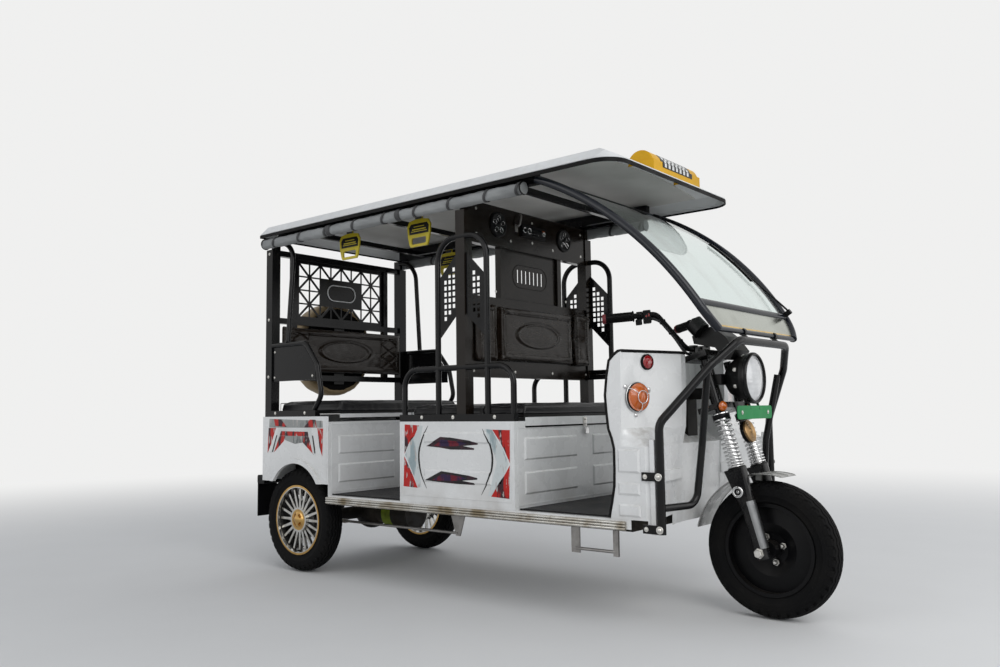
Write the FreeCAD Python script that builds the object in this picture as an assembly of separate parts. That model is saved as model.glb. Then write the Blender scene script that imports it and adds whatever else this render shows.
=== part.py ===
import FreeCAD, Part
import math
import os
from FreeCAD import Vector

# Battery auto rickshaw with three wheels, open sides, two facing passenger benches and a driver's seat.
# Millimetres. X runs forward, Y to the left and Z up. The origin lies on the ground, midway along the
# overall length.

# Overall width
body_half_width = 490
wheel_inset = 20
post_inset = 10
roof_overhang = 15

# Wheels and axles
wheelbase = 2224
front_axle_x = 1172
rear_axle_x = front_axle_x - wheelbase
tyre_radius = 250
tyre_width = 100
track = 2 * (body_half_width - wheel_inset) - tyre_width
bead_radius = 165
tyre_bead_width = 72
rim_wall = 9
rim_spokes = 20
hub_radius = 60
cap_radius = 50
cap_height = 22
cap_hole_radius = 27
running_gap = 0.3
front_hub_length = 116

# Spare wheel
spare_z = 1125
spare_strap = 70

# Body shell
panel_thickness = 3
floor_top = 385
floor_thickness = 3
deck_skirt = 34
body_rear_x = rear_axle_x - 253
spare_hub_x = body_rear_x - 1
deck_front_x = front_axle_x - 310
rear_box_front_x = rear_axle_x + 265
rear_panel_bottom = 435
rear_panel_top = 756
middle_box_rear_x = -298
middle_box_front_x = 344
middle_panel_top = 730
rail_height = 30
rail_depth = 30
arch_centre_x = rear_axle_x + 22
arch_centre_z = 325
arch_radius = 203
arch_flare = 22
arch_flare_depth = 14
wheel_box_z = 530
emboss_depth = 5

# Chassis
chassis_tube = 40
chassis_rail_y = body_half_width - 220
chassis_top = floor_top - floor_thickness
head_tube_radius = 24
stem_radius = 14
jack_pad_half = 60
jack_pad_thickness = 5

# Posts and partition
post_size = 50
post_y = body_half_width - post_inset - post_size / 2
post_inner_y = post_y - post_size / 2
mid_post_x = 58
post_top = 1672
post_head_z = 1622
partition_rail_z = 930
partition_mid_z = 1250
header_bottom = 1506
header_top = 1656
window_bar_y = 215
speaker_y = 250
speaker_z = 1590
speaker_hole = 48
lattice_bar_y = post_y - 130
rear_bar_low_z = 960
rear_bar_mid_z = 1255
rear_bar_top_z = 1610
thin_tube = 25
hoop_radius = 12
rail_tube = 30

# Seats
lid_thickness = 12
middle_lid_z = 757
lid_side_gap = 5
lid_half_width = post_inner_y - lid_side_gap
driver_hinge_gap = 39
cushion_setback = 10
front_cushion_height = 48
rear_cushion_height = 56
rear_lid_z = 768
rear_hinge_x = body_rear_x + 35
hinge_radius = 4
hinge_length = 60
hinge_y = 260
hinge_lug = 17
back_pad_thickness = 40
back_board = 3
pad_lift = 144
pad_bottom = rear_lid_z + lid_thickness + rear_cushion_height + pad_lift
pad_height = 252
pad_top = pad_bottom + pad_height
pad_margin = 10
pad_half_width = post_inner_y - pad_margin
side_pad_width = 128
pad_gap = 17

# Roof
roof_rear_x = body_rear_x - 13
roof_front_x = 838
roof_half_width = body_half_width + roof_overhang
roof_edge_z = 1692
roof_flange = 14
roof_shoulder_rise = 36
roof_shoulder_run = 24
roof_crown = 34
roof_wall = 5
roof_corner = 100
roof_bevel = 150
roof_tail_bevel = 60
liner_thickness = 4
bead_width = 4
bead_height = 16
roll_radius = 29
roll_overhang = 3
roof_bar_y = roof_half_width + roll_overhang - 2 * roll_radius - rail_tube / 2
roll_front_x = 405
sign_radius = 58
sign_half_width = 190
sign_x = 768
handle_width = 150
handle_height = 135
handle_thickness = 8
handle_y = roof_bar_y - 75
handle_bar_rear_x = body_rear_x + 255
handle_bar_front_x = 300
handle_places = (0.198, 0.555)

# Windscreen
screen_top_x = 455
screen_top_z = 1684
screen_mid_x = 832
screen_mid_z = 1452
screen_low_x = 1098
screen_low_z = 1144
chin_low_x = screen_low_x + 51
chin_low_z = screen_low_z - 96
screen_top_y = body_half_width - 28
screen_mid_y = body_half_width - 48
screen_low_y = body_half_width - 91
chin_low_y = body_half_width - 144
frame_tube = 32
glass_thickness = 5
wiper_base_y = screen_low_y - 29
wiper_blade_y = wiper_base_y - 70
wiper_blade_top_z = 1482
wiper_blade_low_z = 1298

# Front shield: height, then eight places from the wing's rear edge to the fork's recess. First how far
# each lies ahead of the deck, then how far the outer five lie in from the side.
shield_levels = (
    (345, (-87, -50, 63, 88, 63, 23, 23, 18), (0, 0, 1, 12, 130)),
    (500, (-64, -42, 63, 88, 64, 31, 31, 26), (0, 0, 1, 12, 130)),
    (640, (-62, -37, 63, 88, 66, 41, 41, 36), (0, 0, 1, 12, 130)),
    (705, (-84, -30, -10, 10, 30, 56, 56, -62), (0, 0, 50, 110, 180)),
    (823, (-95, -27, -7, 10, 33, 62, 62, -62), (0, 0, 60, 120, 190)),
    (951, (-76, -27, -7, 10, 33, 62, 62, -62), (0, 0, 60, 120, 190)),
    (980, (-38, -24, -6, 11, 34, 62, 62, -62), (0, 0, 60, 120, 190)),
)
shield_recess_steps = (40, 5, 0)

# Steering and front end
rake = math.radians(16)
fork_offset = 44
fork_leg_y = 100
bar_x = 893
bar_z = 1004
bar_radius = 11
fork_axle_radius = 11
stanchion_radius = 15
lower_radius = 24
leg_head_radius = 42
leg_waist_z = 400
leg_head_z = 548
spring_radius = 32
spring_top_z = 748
guard_tube = 30
fork_room = 18
guard_leg_x = deck_front_x + 116
guard_cross_x = guard_leg_x + 188
guard_cross_z = 1014
chin_tube_radius = 9
mudguard_radius = 276
mudguard_half_width = 66
mudguard_thickness = 2.5
lamp_radius = 96
lens_radius = 86
lens_rise = 14
lens_thickness = 3
lamp_x = 1128
lamp_z = 883
cowl_half_width = 66
grip_radius = 17
grip_length = 118
horn_radius = 42

# Rear running gear
axle_tube_radius = 32
stub_radius = 14
diff_radius = 92
motor_radius = 78
spring_span = 430
spring_sag = 74
leaf_thickness = 7
leaf_width = 50
bumper_depth = 58
brake_rod_z = 235
brake_rod_y = chassis_rail_y + 7
brake_hanger_x = -150
pedal_bracket_x = 565
pedal_bracket_y = body_half_width - 90
tail_lamp_z = 625


def V(x, y, z):
    return Vector(x, y, z)


def block(x0, x1, y0, y1, z0, z1):
    return Part.makeBox(x1 - x0, y1 - y0, z1 - z0, V(x0, y0, z0))


def rod(start, end, radius):
    axis = end - start
    return Part.makeCylinder(radius, axis.Length, start, axis)


def flip(shape):
    return shape.mirror(V(0, 0, 0), V(0, 1, 0))


def both_sides(shapes):
    return shapes + [flip(shape) for shape in shapes]


def joined(shapes):
    if len(shapes) == 1:
        return shapes[0]
    return shapes[0].multiFuse(shapes[1:]).removeSplitter()


def bent_wire(points, radius):
    """Straight runs joined by tangent arcs of one radius."""
    edges = []
    start = points[0]
    for before, corner, after in zip(points, points[1:], points[2:]):
        back = (before - corner).normalize()
        ahead = (after - corner).normalize()
        half = back.getAngle(ahead) / 2
        run = radius / math.tan(half)
        first = corner + back * run
        last = corner + ahead * run
        centre = corner + (back + ahead).normalize() * (radius / math.sin(half))
        middle = centre + (corner - centre).normalize() * radius
        if (first - start).Length > 1e-6:
            edges.append(Part.LineSegment(start, first).toShape())
        edges.append(Part.Arc(first, middle, last).toShape())
        start = last
    edges.append(Part.LineSegment(start, points[-1]).toShape())
    return Part.Wire(edges)


def bent_tube(points, diameter, radius):
    path = bent_wire(points, radius)
    section = Part.Wire(Part.makeCircle(diameter / 2, points[0], points[1] - points[0]))
    return path.makePipeShell([section], True, False)


def outline(points):
    return Part.Wire(Part.makePolygon(points + [points[0]]))


def plate_along_y(points_xz, y0, y1):
    """A flat plate from an outline in X and Z, between two places in Y."""
    face = Part.Face(outline([V(x, y0, z) for x, z in points_xz]))
    return face.extrude(V(0, y1 - y0, 0))


def plate_along_x(points_yz, x0, x1):
    face = Part.Face(outline([V(x0, y, z) for y, z in points_yz]))
    return face.extrude(V(x1 - x0, 0, 0))


def rounded_block(x0, x1, y0, y1, z0, z1, radius, edges="all"):
    shape = block(x0, x1, y0, y1, z0, z1)
    chosen = []
    for edge in shape.Edges:
        along = edge.tangentAt(edge.FirstParameter)
        if edges == "all" or abs(getattr(along, edges)) > 0.9:
            chosen.append(edge)
    return shape.makeFillet(radius, chosen)


def raised_field(x_face, outward, y0, y1, z0, z1, depth):
    """A raised rectangle with sloped edges on a wall whose face lies at x_face."""
    slope = depth * 1.5
    low = outline([V(x_face, y0, z0), V(x_face, y1, z0), V(x_face, y1, z1), V(x_face, y0, z1)])
    x_top = x_face + outward * depth
    high = outline([V(x_top, y0 + slope, z0 + slope), V(x_top, y1 - slope, z0 + slope),
                    V(x_top, y1 - slope, z1 - slope), V(x_top, y0 + slope, z1 - slope)])
    return Part.makeLoft([low, high], True, True)


def side_field(y_face, outward, x0, x1, z0, z1, depth):
    """A raised rectangle with sloped edges on a side panel whose face lies at y_face."""
    slope = depth * 1.5
    y_top = y_face + outward * depth
    low = outline([V(x0, y_face, z0), V(x1, y_face, z0), V(x1, y_face, z1), V(x0, y_face, z1)])
    high = outline([V(x0 + slope, y_top, z0 + slope), V(x1 - slope, y_top, z0 + slope),
                    V(x1 - slope, y_top, z1 - slope), V(x0 + slope, y_top, z1 - slope)])
    return Part.makeLoft([low, high], True, True)


def on_steering_axis(z):
    """The point of the raked steering axis at one height."""
    ground_offset = fork_offset / math.cos(rake)
    return V(front_axle_x - ground_offset - (z - tyre_radius) * math.tan(rake), 0, z)


def on_fork(z, y=0):
    """The point of a fork leg's centre line at one height."""
    return V(front_axle_x - (z - tyre_radius) * math.tan(rake), y, z)


def revolved_about_y(points_ry, centre):
    """A ring from an outline in radius and Y, turned about an axle along Y."""
    face = Part.Face(outline([V(centre.x, centre.y + y, centre.z + r) for r, y in points_ry]))
    return face.revolve(centre, V(0, 1, 0), 360)


def tyre(centre):
    half = tyre_width / 2
    bead = tyre_bead_width / 2
    shoulder = tyre_radius - 12
    bulge = (bead_radius + tyre_radius) / 2
    points = [V(0, -bead, bead_radius), V(0, -half, bulge), V(0, -half + 7, shoulder)]
    points = [centre + p for p in points]
    mirrored = [V(p.x, 2 * centre.y - p.y, p.z) for p in points]
    crown = centre + V(0, 0, tyre_radius)
    bite = 5
    wall_mid = centre + V(0, -half + bite, (bead_radius + bulge) / 2)
    wall_mid_far = centre + V(0, half - bite, (bead_radius + bulge) / 2)
    edges = [Part.Arc(points[0], wall_mid, points[1]).toShape(),
             Part.LineSegment(points[1], points[2]).toShape(),
             Part.Arc(points[2], crown, mirrored[2]).toShape(),
             Part.LineSegment(mirrored[2], mirrored[1]).toShape(),
             Part.Arc(mirrored[1], wall_mid_far, mirrored[0]).toShape(),
             Part.LineSegment(mirrored[0], points[0]).toShape()]
    face = Part.Face(Part.Wire(edges))
    return face.revolve(centre, V(0, 1, 0), 360)


def rim_barrel(centre):
    half = tyre_bead_width / 2
    outer = bead_radius
    lip = outer + 4
    well = outer - rim_wall
    near = half + 4
    far = half + 9
    return revolved_about_y([(outer, -near), (lip, -near), (lip, -far), (well, -far),
                             (well, far), (lip, far), (lip, near), (outer, near)], centre)


def wheel_cap(start, outward):
    """A domed cap with four oval holes round its middle."""
    along = V(0, outward, 0)
    dome_radius = (cap_radius ** 2 + cap_height ** 2) / (2 * cap_height)
    cap = Part.makeCylinder(cap_radius, cap_height, start, along)
    cap = cap.common(Part.makeSphere(dome_radius + 4, start + along * (cap_height - dome_radius - 4)))
    for index in range(4):
        hole = joined([Part.makeCylinder(6, cap_height, start + along * 8 + V(cap_hole_radius, 0, z), along)
                       for z in (-6, 0, 6)])
        hole.rotate(start, V(0, 1, 0), 45 + 90 * index)
        cap = cap.cut(hole)
    return cap


def spoked_rim(centre, outward):
    """Rear rim: barrel, slim spokes, hub and raised centre cap on the outer side."""
    face_y = centre.y + outward * (tyre_bead_width / 2 - 8)
    back_y = face_y - outward * 14
    low_y, high_y = sorted((face_y, back_y))
    pieces = [rim_barrel(centre)]
    hub = Part.makeCylinder(hub_radius, high_y - low_y + 20, V(centre.x, low_y - 10, centre.z), V(0, 1, 0))
    cap = wheel_cap(V(centre.x, face_y, centre.z), outward)
    drum = Part.makeCylinder(92, 46, V(centre.x, back_y, centre.z), V(0, -outward, 0))
    pieces += [hub, cap, drum]
    for index in range(rim_spokes):
        angle = 360 * index / rim_spokes
        inner = hub_radius - 4
        reach = bead_radius - rim_wall + 2
        spoke = outline([V(centre.x - 7, low_y, centre.z + inner), V(centre.x + 7, low_y, centre.z + inner),
                         V(centre.x + 5, low_y, centre.z + reach), V(centre.x - 5, low_y, centre.z + reach)])
        solid = Part.Face(spoke).extrude(V(0, high_y - low_y, 0))
        solid.rotate(centre, V(0, 1, 0), angle)
        pieces.append(solid)
    bore_start = V(centre.x, high_y if outward < 0 else low_y, centre.z)
    bore = Part.makeCylinder(stub_radius + running_gap, 80, bore_start, V(0, -outward, 0))
    return joined(pieces).cut(bore)


def disc_rim(centre):
    """Front rim: barrel with a dished steel disc, hub and studs."""
    disc = revolved_about_y([(0, -6), (58, -6), (96, -22), (158, -14), (158, -8), (96, -16), (58, 0),
                             (0, 0)], centre)
    hub_start = V(centre.x, centre.y - front_hub_length / 2, centre.z)
    hub = Part.makeCylinder(34, front_hub_length, hub_start, V(0, 1, 0))
    pieces = [rim_barrel(centre), disc, hub]
    for index in range(4):
        angle = math.radians(20 + 90 * index)
        spot = centre + V(48 * math.cos(angle), -18, 48 * math.sin(angle))
        pieces.append(Part.makeCylinder(9, 24, spot, V(0, 1, 0)))
    bore = Part.makeCylinder(fork_axle_radius + running_gap, 200, V(centre.x, centre.y - 100, centre.z),
                             V(0, 1, 0))
    return joined(pieces).cut(bore)


def build_wheels():
    front = V(front_axle_x, 0, tyre_radius)
    parts = {"front_tyre": [tyre(front)], "front_rim": [disc_rim(front)]}
    for side, name in ((-1, "right"), (1, "left")):
        centre = V(rear_axle_x, side * track / 2, tyre_radius)
        parts["rear_tyre_" + name] = [tyre(centre)]
        parts["rear_rim_" + name] = [spoked_rim(centre, side)]
    return parts


def build_spare():
    centre = V(0, 0, 0)
    wheel = Part.makeCompound([tyre(centre), disc_rim(centre)])
    wheel.rotate(V(0, 0, 0), V(0, 0, 1), 90)
    wheel.translate(V(spare_hub_x - front_hub_length / 2, 0, spare_z))
    return {"spare_wheel": wheel.Solids}


def build_chassis():
    t = chassis_tube
    top = chassis_top
    low = top - t
    width = body_half_width - 12
    step_x = rear_box_front_x - panel_thickness - t
    raised = wheel_box_z - 25
    front = deck_front_x
    pieces = []
    for y in (-chassis_rail_y, chassis_rail_y):
        pieces.append(block(step_x, front, y - t / 2, y + t / 2, low, top))
        pieces.append(block(body_rear_x + 10, step_x + t, y - t / 2, y + t / 2, raised - t, raised))
        pieces.append(block(step_x, step_x + t, y - t / 2, y + t / 2, low, raised))
    for y in (-width + t / 2, width - t / 2):
        pieces.append(block(rear_box_front_x, front, y - t / 2, y + t / 2, low, top))
    for x in (rear_box_front_x, middle_box_rear_x, mid_post_x - t / 2, middle_box_front_x, front - t):
        pieces.append(block(x, x + t, -width, width, low, top))
    for x in (body_rear_x + 10, step_x):
        pieces.append(block(x, x + t, -chassis_rail_y, chassis_rail_y, raised - t, raised))
    spring_end_z = tyre_radius + axle_tube_radius + 2 * leaf_thickness + spring_sag
    for x in (rear_axle_x - spring_span / 2 + 14, rear_axle_x + spring_span / 2 - 14):
        for place in (-chassis_rail_y - leaf_width / 2 - 6, -chassis_rail_y + leaf_width / 2):
            cheek = block(x - 12, x + 12, place, place + 6, spring_end_z - 22, raised - t)
            foot = block(x - 12, x + 12, -chassis_rail_y - leaf_width / 2 - 6,
                         -chassis_rail_y + leaf_width / 2 + 6, raised - t - 8, raised - t)
            pieces += both_sides([cheek, foot])
    neck_x = front - t
    pieces.append(block(neck_x, neck_x + t, -t, t, low, 850))
    head_low = on_steering_axis(790)
    head_high = on_steering_axis(945)
    pieces.append(block(neck_x, head_low.x, -16, 16, 806, 850))
    pieces.append(rod(head_low, head_high, head_tube_radius))
    pieces.append(block(middle_box_front_x, middle_box_front_x + t, -jack_pad_half, jack_pad_half,
                        low - jack_pad_thickness, low))
    frame = joined(pieces)
    bore = rod(on_steering_axis(700), on_steering_axis(1000), stem_radius + running_gap)
    return {"chassis_frame": [frame.cut(bore)]}


def build_floor():
    half = body_half_width
    x0 = rear_box_front_x
    x1 = deck_front_x
    deck = block(x0, x1, -half + 1, half - 1, chassis_top, floor_top)
    neck = block(x1 - chassis_tube, x1, -chassis_tube, chassis_tube, chassis_top, floor_top)
    deck = deck.cut(neck)
    skirts = [block(x0, x1, -half + 1, -half + 1 + floor_thickness, floor_top - deck_skirt, chassis_top),
              block(x0, x1, half - 1 - floor_thickness, half - 1, floor_top - deck_skirt, chassis_top)]
    mats = []
    mat_wells = ((rear_box_front_x + 6, middle_box_rear_x - 6), (middle_box_front_x + 6, 790))
    for start, end in mat_wells:
        mats.append(block(start, end, -half + 22, half - 22, floor_top, floor_top + 5))
    sills = []
    sill_x1 = 843
    for side in (-1, 1):
        y_in = side * (half - 1)
        for z in (352, 362, 372):
            sills.append(rod(V(x0 - 8, y_in + side * 5, z), V(sill_x1, y_in + side * 5, z), 4.6))
        sills.append(block(x0 - 8, sill_x1, min(y_in, y_in + side * 3), max(y_in, y_in + side * 3), 346, 378))
    right = joined(sills[:4])
    left = joined(sills[4:])
    return {"floor_deck": [joined([deck] + skirts)], "floor_mats": mats, "sill_trims": [right, left]}


def rear_side_panel():
    """Right rear side panel with its wheel arch and flare."""
    y0 = -body_half_width
    y1 = y0 + panel_thickness
    centre = V(arch_centre_x, 0, arch_centre_z)
    panel = block(body_rear_x, rear_box_front_x, y0, y1, rear_panel_bottom, rear_panel_top)
    panel = panel.cut(Part.makeCylinder(arch_radius, 40, V(centre.x, y0 - 20, centre.z), V(0, 1, 0)))
    flare = Part.makeCylinder(arch_radius + arch_flare, arch_flare_depth + panel_thickness,
                              V(centre.x, y0 - arch_flare_depth, centre.z), V(0, 1, 0))
    flare = flare.cut(Part.makeCylinder(arch_radius, 60, V(centre.x, y0 - 30, centre.z), V(0, 1, 0)))
    flare = flare.common(block(body_rear_x - 95, rear_box_front_x + 87, y0 - 40, y1, rear_panel_bottom, 700))
    return joined([panel, flare])


def hinge_parts(axis_x, axis_z, outward, lug_bottom):
    """Two hinges on one line: fixed lugs, knuckles for the lid, and the notches the lugs need in it."""
    lugs = []
    knuckles = []
    notches = []
    low_x, high_x = sorted((axis_x - outward * hinge_lug, axis_x))
    notch_low, notch_high = sorted((axis_x - outward * 10, axis_x + outward * (hinge_radius + 5)))
    for y in (-hinge_y, hinge_y):
        y_end = y + hinge_length
        barrel = rod(V(axis_x, y, axis_z), V(axis_x, y_end, axis_z), hinge_radius)
        lugs.append(joined([block(low_x, high_x, y, y_end, lug_bottom, axis_z), barrel]))
        start = y - running_gap
        knuckles.append(rod(V(axis_x, start - hinge_length, axis_z), V(axis_x, start, axis_z), hinge_radius))
        notches.append(block(notch_low, notch_high, start, y_end + 5, axis_z - 30, axis_z + 10))
    return lugs, knuckles, Part.makeCompound(notches)


def build_body_panels():
    y0 = -body_half_width
    y1 = y0 + panel_thickness
    middle = block(middle_box_rear_x, middle_box_front_x, y0, y1, floor_top, middle_panel_top)
    fields = [side_field(y0, -1, -150, 228, z0, z1, emboss_depth) for z0, z1 in ((640, 688), (475, 530))]
    middle = joined([middle] + fields)
    inner = body_half_width - panel_thickness
    walls = []
    # wall place in X, direction it faces, lowest height, highest height
    for x, outward, bottom, top in ((rear_box_front_x, 1, floor_top, rear_panel_top - 26),
                                    (middle_box_rear_x, -1, floor_top, middle_panel_top),
                                    (middle_box_front_x, 1, floor_top, middle_panel_top)):
        x_in = x - outward * panel_thickness
        wall = block(min(x, x_in), max(x, x_in), -inner, inner, bottom, top)
        raised = []
        for y_a, y_b in ((60 - inner, -60), (60, inner - 60)):
            for z_a, z_b in ((440, 530), (575, 665)):
                raised.append(raised_field(x, outward, y_a, y_b, z_a, z_b, emboss_depth))
        walls.append(joined([wall] + raised))
    ledge_half = driver_hinge_gap - 12
    ledge_top = middle_lid_z - 15
    ledge = block(mid_post_x - ledge_half, mid_post_x + ledge_half, -post_inner_y, post_inner_y,
                  middle_panel_top - 26, ledge_top)
    front_lugs = hinge_parts(mid_post_x + driver_hinge_gap, middle_lid_z, 1, ledge_top)[0]
    back_lugs = hinge_parts(mid_post_x - driver_hinge_gap, middle_lid_z, -1, ledge_top)[0]
    walls.append(joined([ledge] + front_lugs + back_lugs))
    shelf_x = rear_hinge_x - 12
    rear_axis_z = rear_lid_z + lid_thickness
    rear_ledge = block(body_rear_x + panel_thickness, shelf_x, -lid_half_width, lid_half_width,
                       rear_lid_z - 40, rear_axis_z - 15)
    rear_lugs = hinge_parts(rear_hinge_x, rear_axis_z, 1, rear_axis_z - 15)[0]
    walls.append(joined([rear_ledge] + rear_lugs))
    tail = block(body_rear_x, body_rear_x + panel_thickness, -inner, inner, rear_panel_bottom,
                 rear_panel_top)
    shelf = block(body_rear_x + panel_thickness, rear_box_front_x - panel_thickness, -inner, inner,
                  wheel_box_z - panel_thickness, wheel_box_z)
    return {"rear_side_panels": both_sides([rear_side_panel()]),
            "middle_side_panels": both_sides([middle]),
            "seat_box_walls": walls,
            "rear_tail_panel": [tail, shelf]}


def post(x0, side, bottom):
    """A square post whose head is thinned on its outer side to clear the rolled curtain."""
    low, high = sorted((side * post_inner_y, side * (post_inner_y + post_size)))
    head_low, head_high = sorted((side * post_inner_y, side * (roof_bar_y + rail_tube / 2)))
    return [block(x0, x0 + post_size, low, high, bottom, post_head_z),
            block(x0, x0 + post_size, head_low, head_high, post_head_z, post_top)]


def build_partition():
    t = post_size
    x0 = mid_post_x - t / 2
    x1 = mid_post_x + t / 2
    pieces = []
    for side in (-1, 1):
        pieces += post(x0, side, floor_top)
    bar = rail_tube
    bx0 = mid_post_x - bar / 2
    bx1 = mid_post_x + bar / 2
    inner = post_inner_y
    for z in (partition_rail_z, partition_mid_z, header_bottom, header_top):
        pieces.append(block(bx0, bx1, -inner, inner, z - bar / 2, z + bar / 2))
    for place in (-window_bar_y, window_bar_y):
        pieces.append(block(bx0, bx1, place - bar / 2, place + bar / 2, partition_rail_z, header_bottom))
    frame = joined(pieces)
    # fixed panels between the bars: header plate and solid centre panel
    header = block(mid_post_x + bar / 2, mid_post_x + bar / 2 + 4, -inner, inner, header_bottom - 15,
                   header_top + 15)
    for place in (-speaker_y, speaker_y):
        header = header.cut(Part.makeCylinder(speaker_hole, 40, V(mid_post_x, place, speaker_z), V(1, 0, 0)))
    gap = bar / 2
    centre = block(mid_post_x - 2, mid_post_x + 2, -window_bar_y + gap, window_bar_y - gap,
                   partition_mid_z + gap, header_bottom - gap)
    slots = []
    for index in range(-3, 4):
        slots.append(block(mid_post_x - 20, mid_post_x + 20, index * 30 - 5, index * 30 + 5, 1350, 1410))
    centre = centre.cut(Part.makeCompound(slots))
    speakers = []
    face_x = mid_post_x + bar / 2 + 4
    for place in (-speaker_y, speaker_y):
        base = V(face_x - 34, place, speaker_z)
        cone = Part.makeCylinder(speaker_hole - 4, 34, base, V(1, 0, 0))
        flange = Part.makeCylinder(speaker_hole + 8, 5, V(face_x, place, speaker_z), V(1, 0, 0))
        dish = Part.makeCone(speaker_hole - 8, 14, 26, V(face_x + 5, place, speaker_z), V(-1, 0, 0))
        hub = Part.makeSphere(15, V(face_x - 20, place, speaker_z))
        speakers.append(joined([joined([cone, flange]).cut(dish), hub]))
    radio = rounded_block(face_x, face_x + 14, -90, 90, 1562, 1618, 4, "x")
    knob = rod(V(face_x + 14, -72, 1590), V(face_x + 26, -72, 1590), 9)
    speakers.append(joined([radio, knob]))
    pads = []
    pad_x = mid_post_x + bar / 2 + back_board
    board_low = partition_rail_z
    board_high = partition_mid_z
    boards = [block(pad_x - back_board, pad_x, -inner + 4, inner - 4, board_low, board_high)]
    side_pad_y = pad_half_width - side_pad_width
    middle_half = side_pad_y - pad_gap
    for y_a, y_b in ((-middle_half, middle_half), (-pad_half_width, -side_pad_y),
                     (side_pad_y, pad_half_width)):
        pads.append(rounded_block(pad_x, pad_x + back_pad_thickness, y_a, y_b, pad_bottom, pad_top, 14))
    back_x = mid_post_x - bar / 2 - back_board
    boards.append(block(back_x, back_x + back_board, -inner + 4, inner - 4, board_low, board_high))
    pads.append(rounded_block(back_x - back_pad_thickness, back_x, -pad_half_width, pad_half_width,
                              pad_bottom, pad_top, 14))
    return {"partition_frame": [frame, header, centre] + boards, "radio_speakers": speakers,
            "partition_backrests": pads}


def build_rear_frame():
    t = post_size
    x0 = body_rear_x + panel_thickness
    x1 = x0 + t
    inner = post_inner_y
    bar = rail_tube
    bx0 = x0 + 8
    bx1 = bx0 + bar
    pieces = []
    for side in (-1, 1):
        pieces += post(x0, side, wheel_box_z)
    for z in (rear_bar_low_z, rear_bar_mid_z, rear_bar_top_z):
        pieces.append(block(bx0, bx1, -inner, inner, z - bar / 2, z + bar / 2))
    for place in (-lattice_bar_y, lattice_bar_y):
        pieces.append(block(bx0, bx1, place - bar / 2, place + bar / 2, rear_bar_low_z, rear_bar_top_z))
    arch_foot_y = body_half_width - 20
    arch_head_y = roof_bar_y
    leg_x = body_rear_x + 177
    arch = bent_tube([V(x1 - 4, -arch_head_y, 1655), V(leg_x, -arch_head_y, 1655),
                      V(leg_x, -arch_foot_y, 1133)], thin_tube, 110)
    pieces += both_sides([arch])
    frame = joined(pieces)
    lattice_half = lattice_bar_y - bar / 2
    z0 = rear_bar_mid_z + bar / 2
    z1 = rear_bar_top_z - bar / 2
    lattice = block(bx0 + bar / 2 - 2, bx0 + bar / 2 + 2, -lattice_half, lattice_half, z0, z1)
    columns = 8
    rows = 4
    margin = 16
    cell_y = (2 * lattice_half - 2 * margin) / columns
    cell_z = (z1 - z0 - 2 * margin) / rows
    web = 4
    cuts = []
    for column in range(columns):
        for row in range(rows):
            if 2 <= column <= 5 and 1 <= row <= 2:
                continue
            y_a = -lattice_half + margin + column * cell_y + web
            y_b = y_a + cell_y - 2 * web
            z_a = z0 + margin + row * cell_z + web
            z_b = z_a + cell_z - 2 * web
            rising = (column + row) % 2 == 0
            for upper in (False, True):
                if rising:
                    corners = [(y_a, z_b), (y_b - 2 * web, z_b), (y_a, z_a + 2 * web)] if upper else \
                              [(y_b, z_a), (y_b, z_b - 2 * web), (y_a + 2 * web, z_a)]
                else:
                    corners = [(y_b, z_b), (y_a + 2 * web, z_b), (y_b, z_a + 2 * web)] if upper else \
                              [(y_a, z_a), (y_a, z_b - 2 * web), (y_b - 2 * web, z_a)]
                cuts.append(plate_along_x(corners, bx0, bx1 + 10))
    lattice = lattice.cut(Part.makeCompound(cuts))
    pad = rounded_block(bx1, bx1 + back_pad_thickness, -pad_half_width, pad_half_width, pad_bottom, pad_top, 14)
    strap_x = spare_hub_x
    strap = block(strap_x, bx0, -spare_strap / 2, spare_strap / 2, rear_bar_low_z - bar, rear_bar_mid_z + 25)
    stud = rod(V(strap_x, 0, spare_z), V(strap_x - front_hub_length, 0, spare_z), fork_axle_radius)
    carrier = joined([strap, stud])
    return {"rear_frame": [frame, lattice, carrier], "rear_backrest": [pad]}


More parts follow.
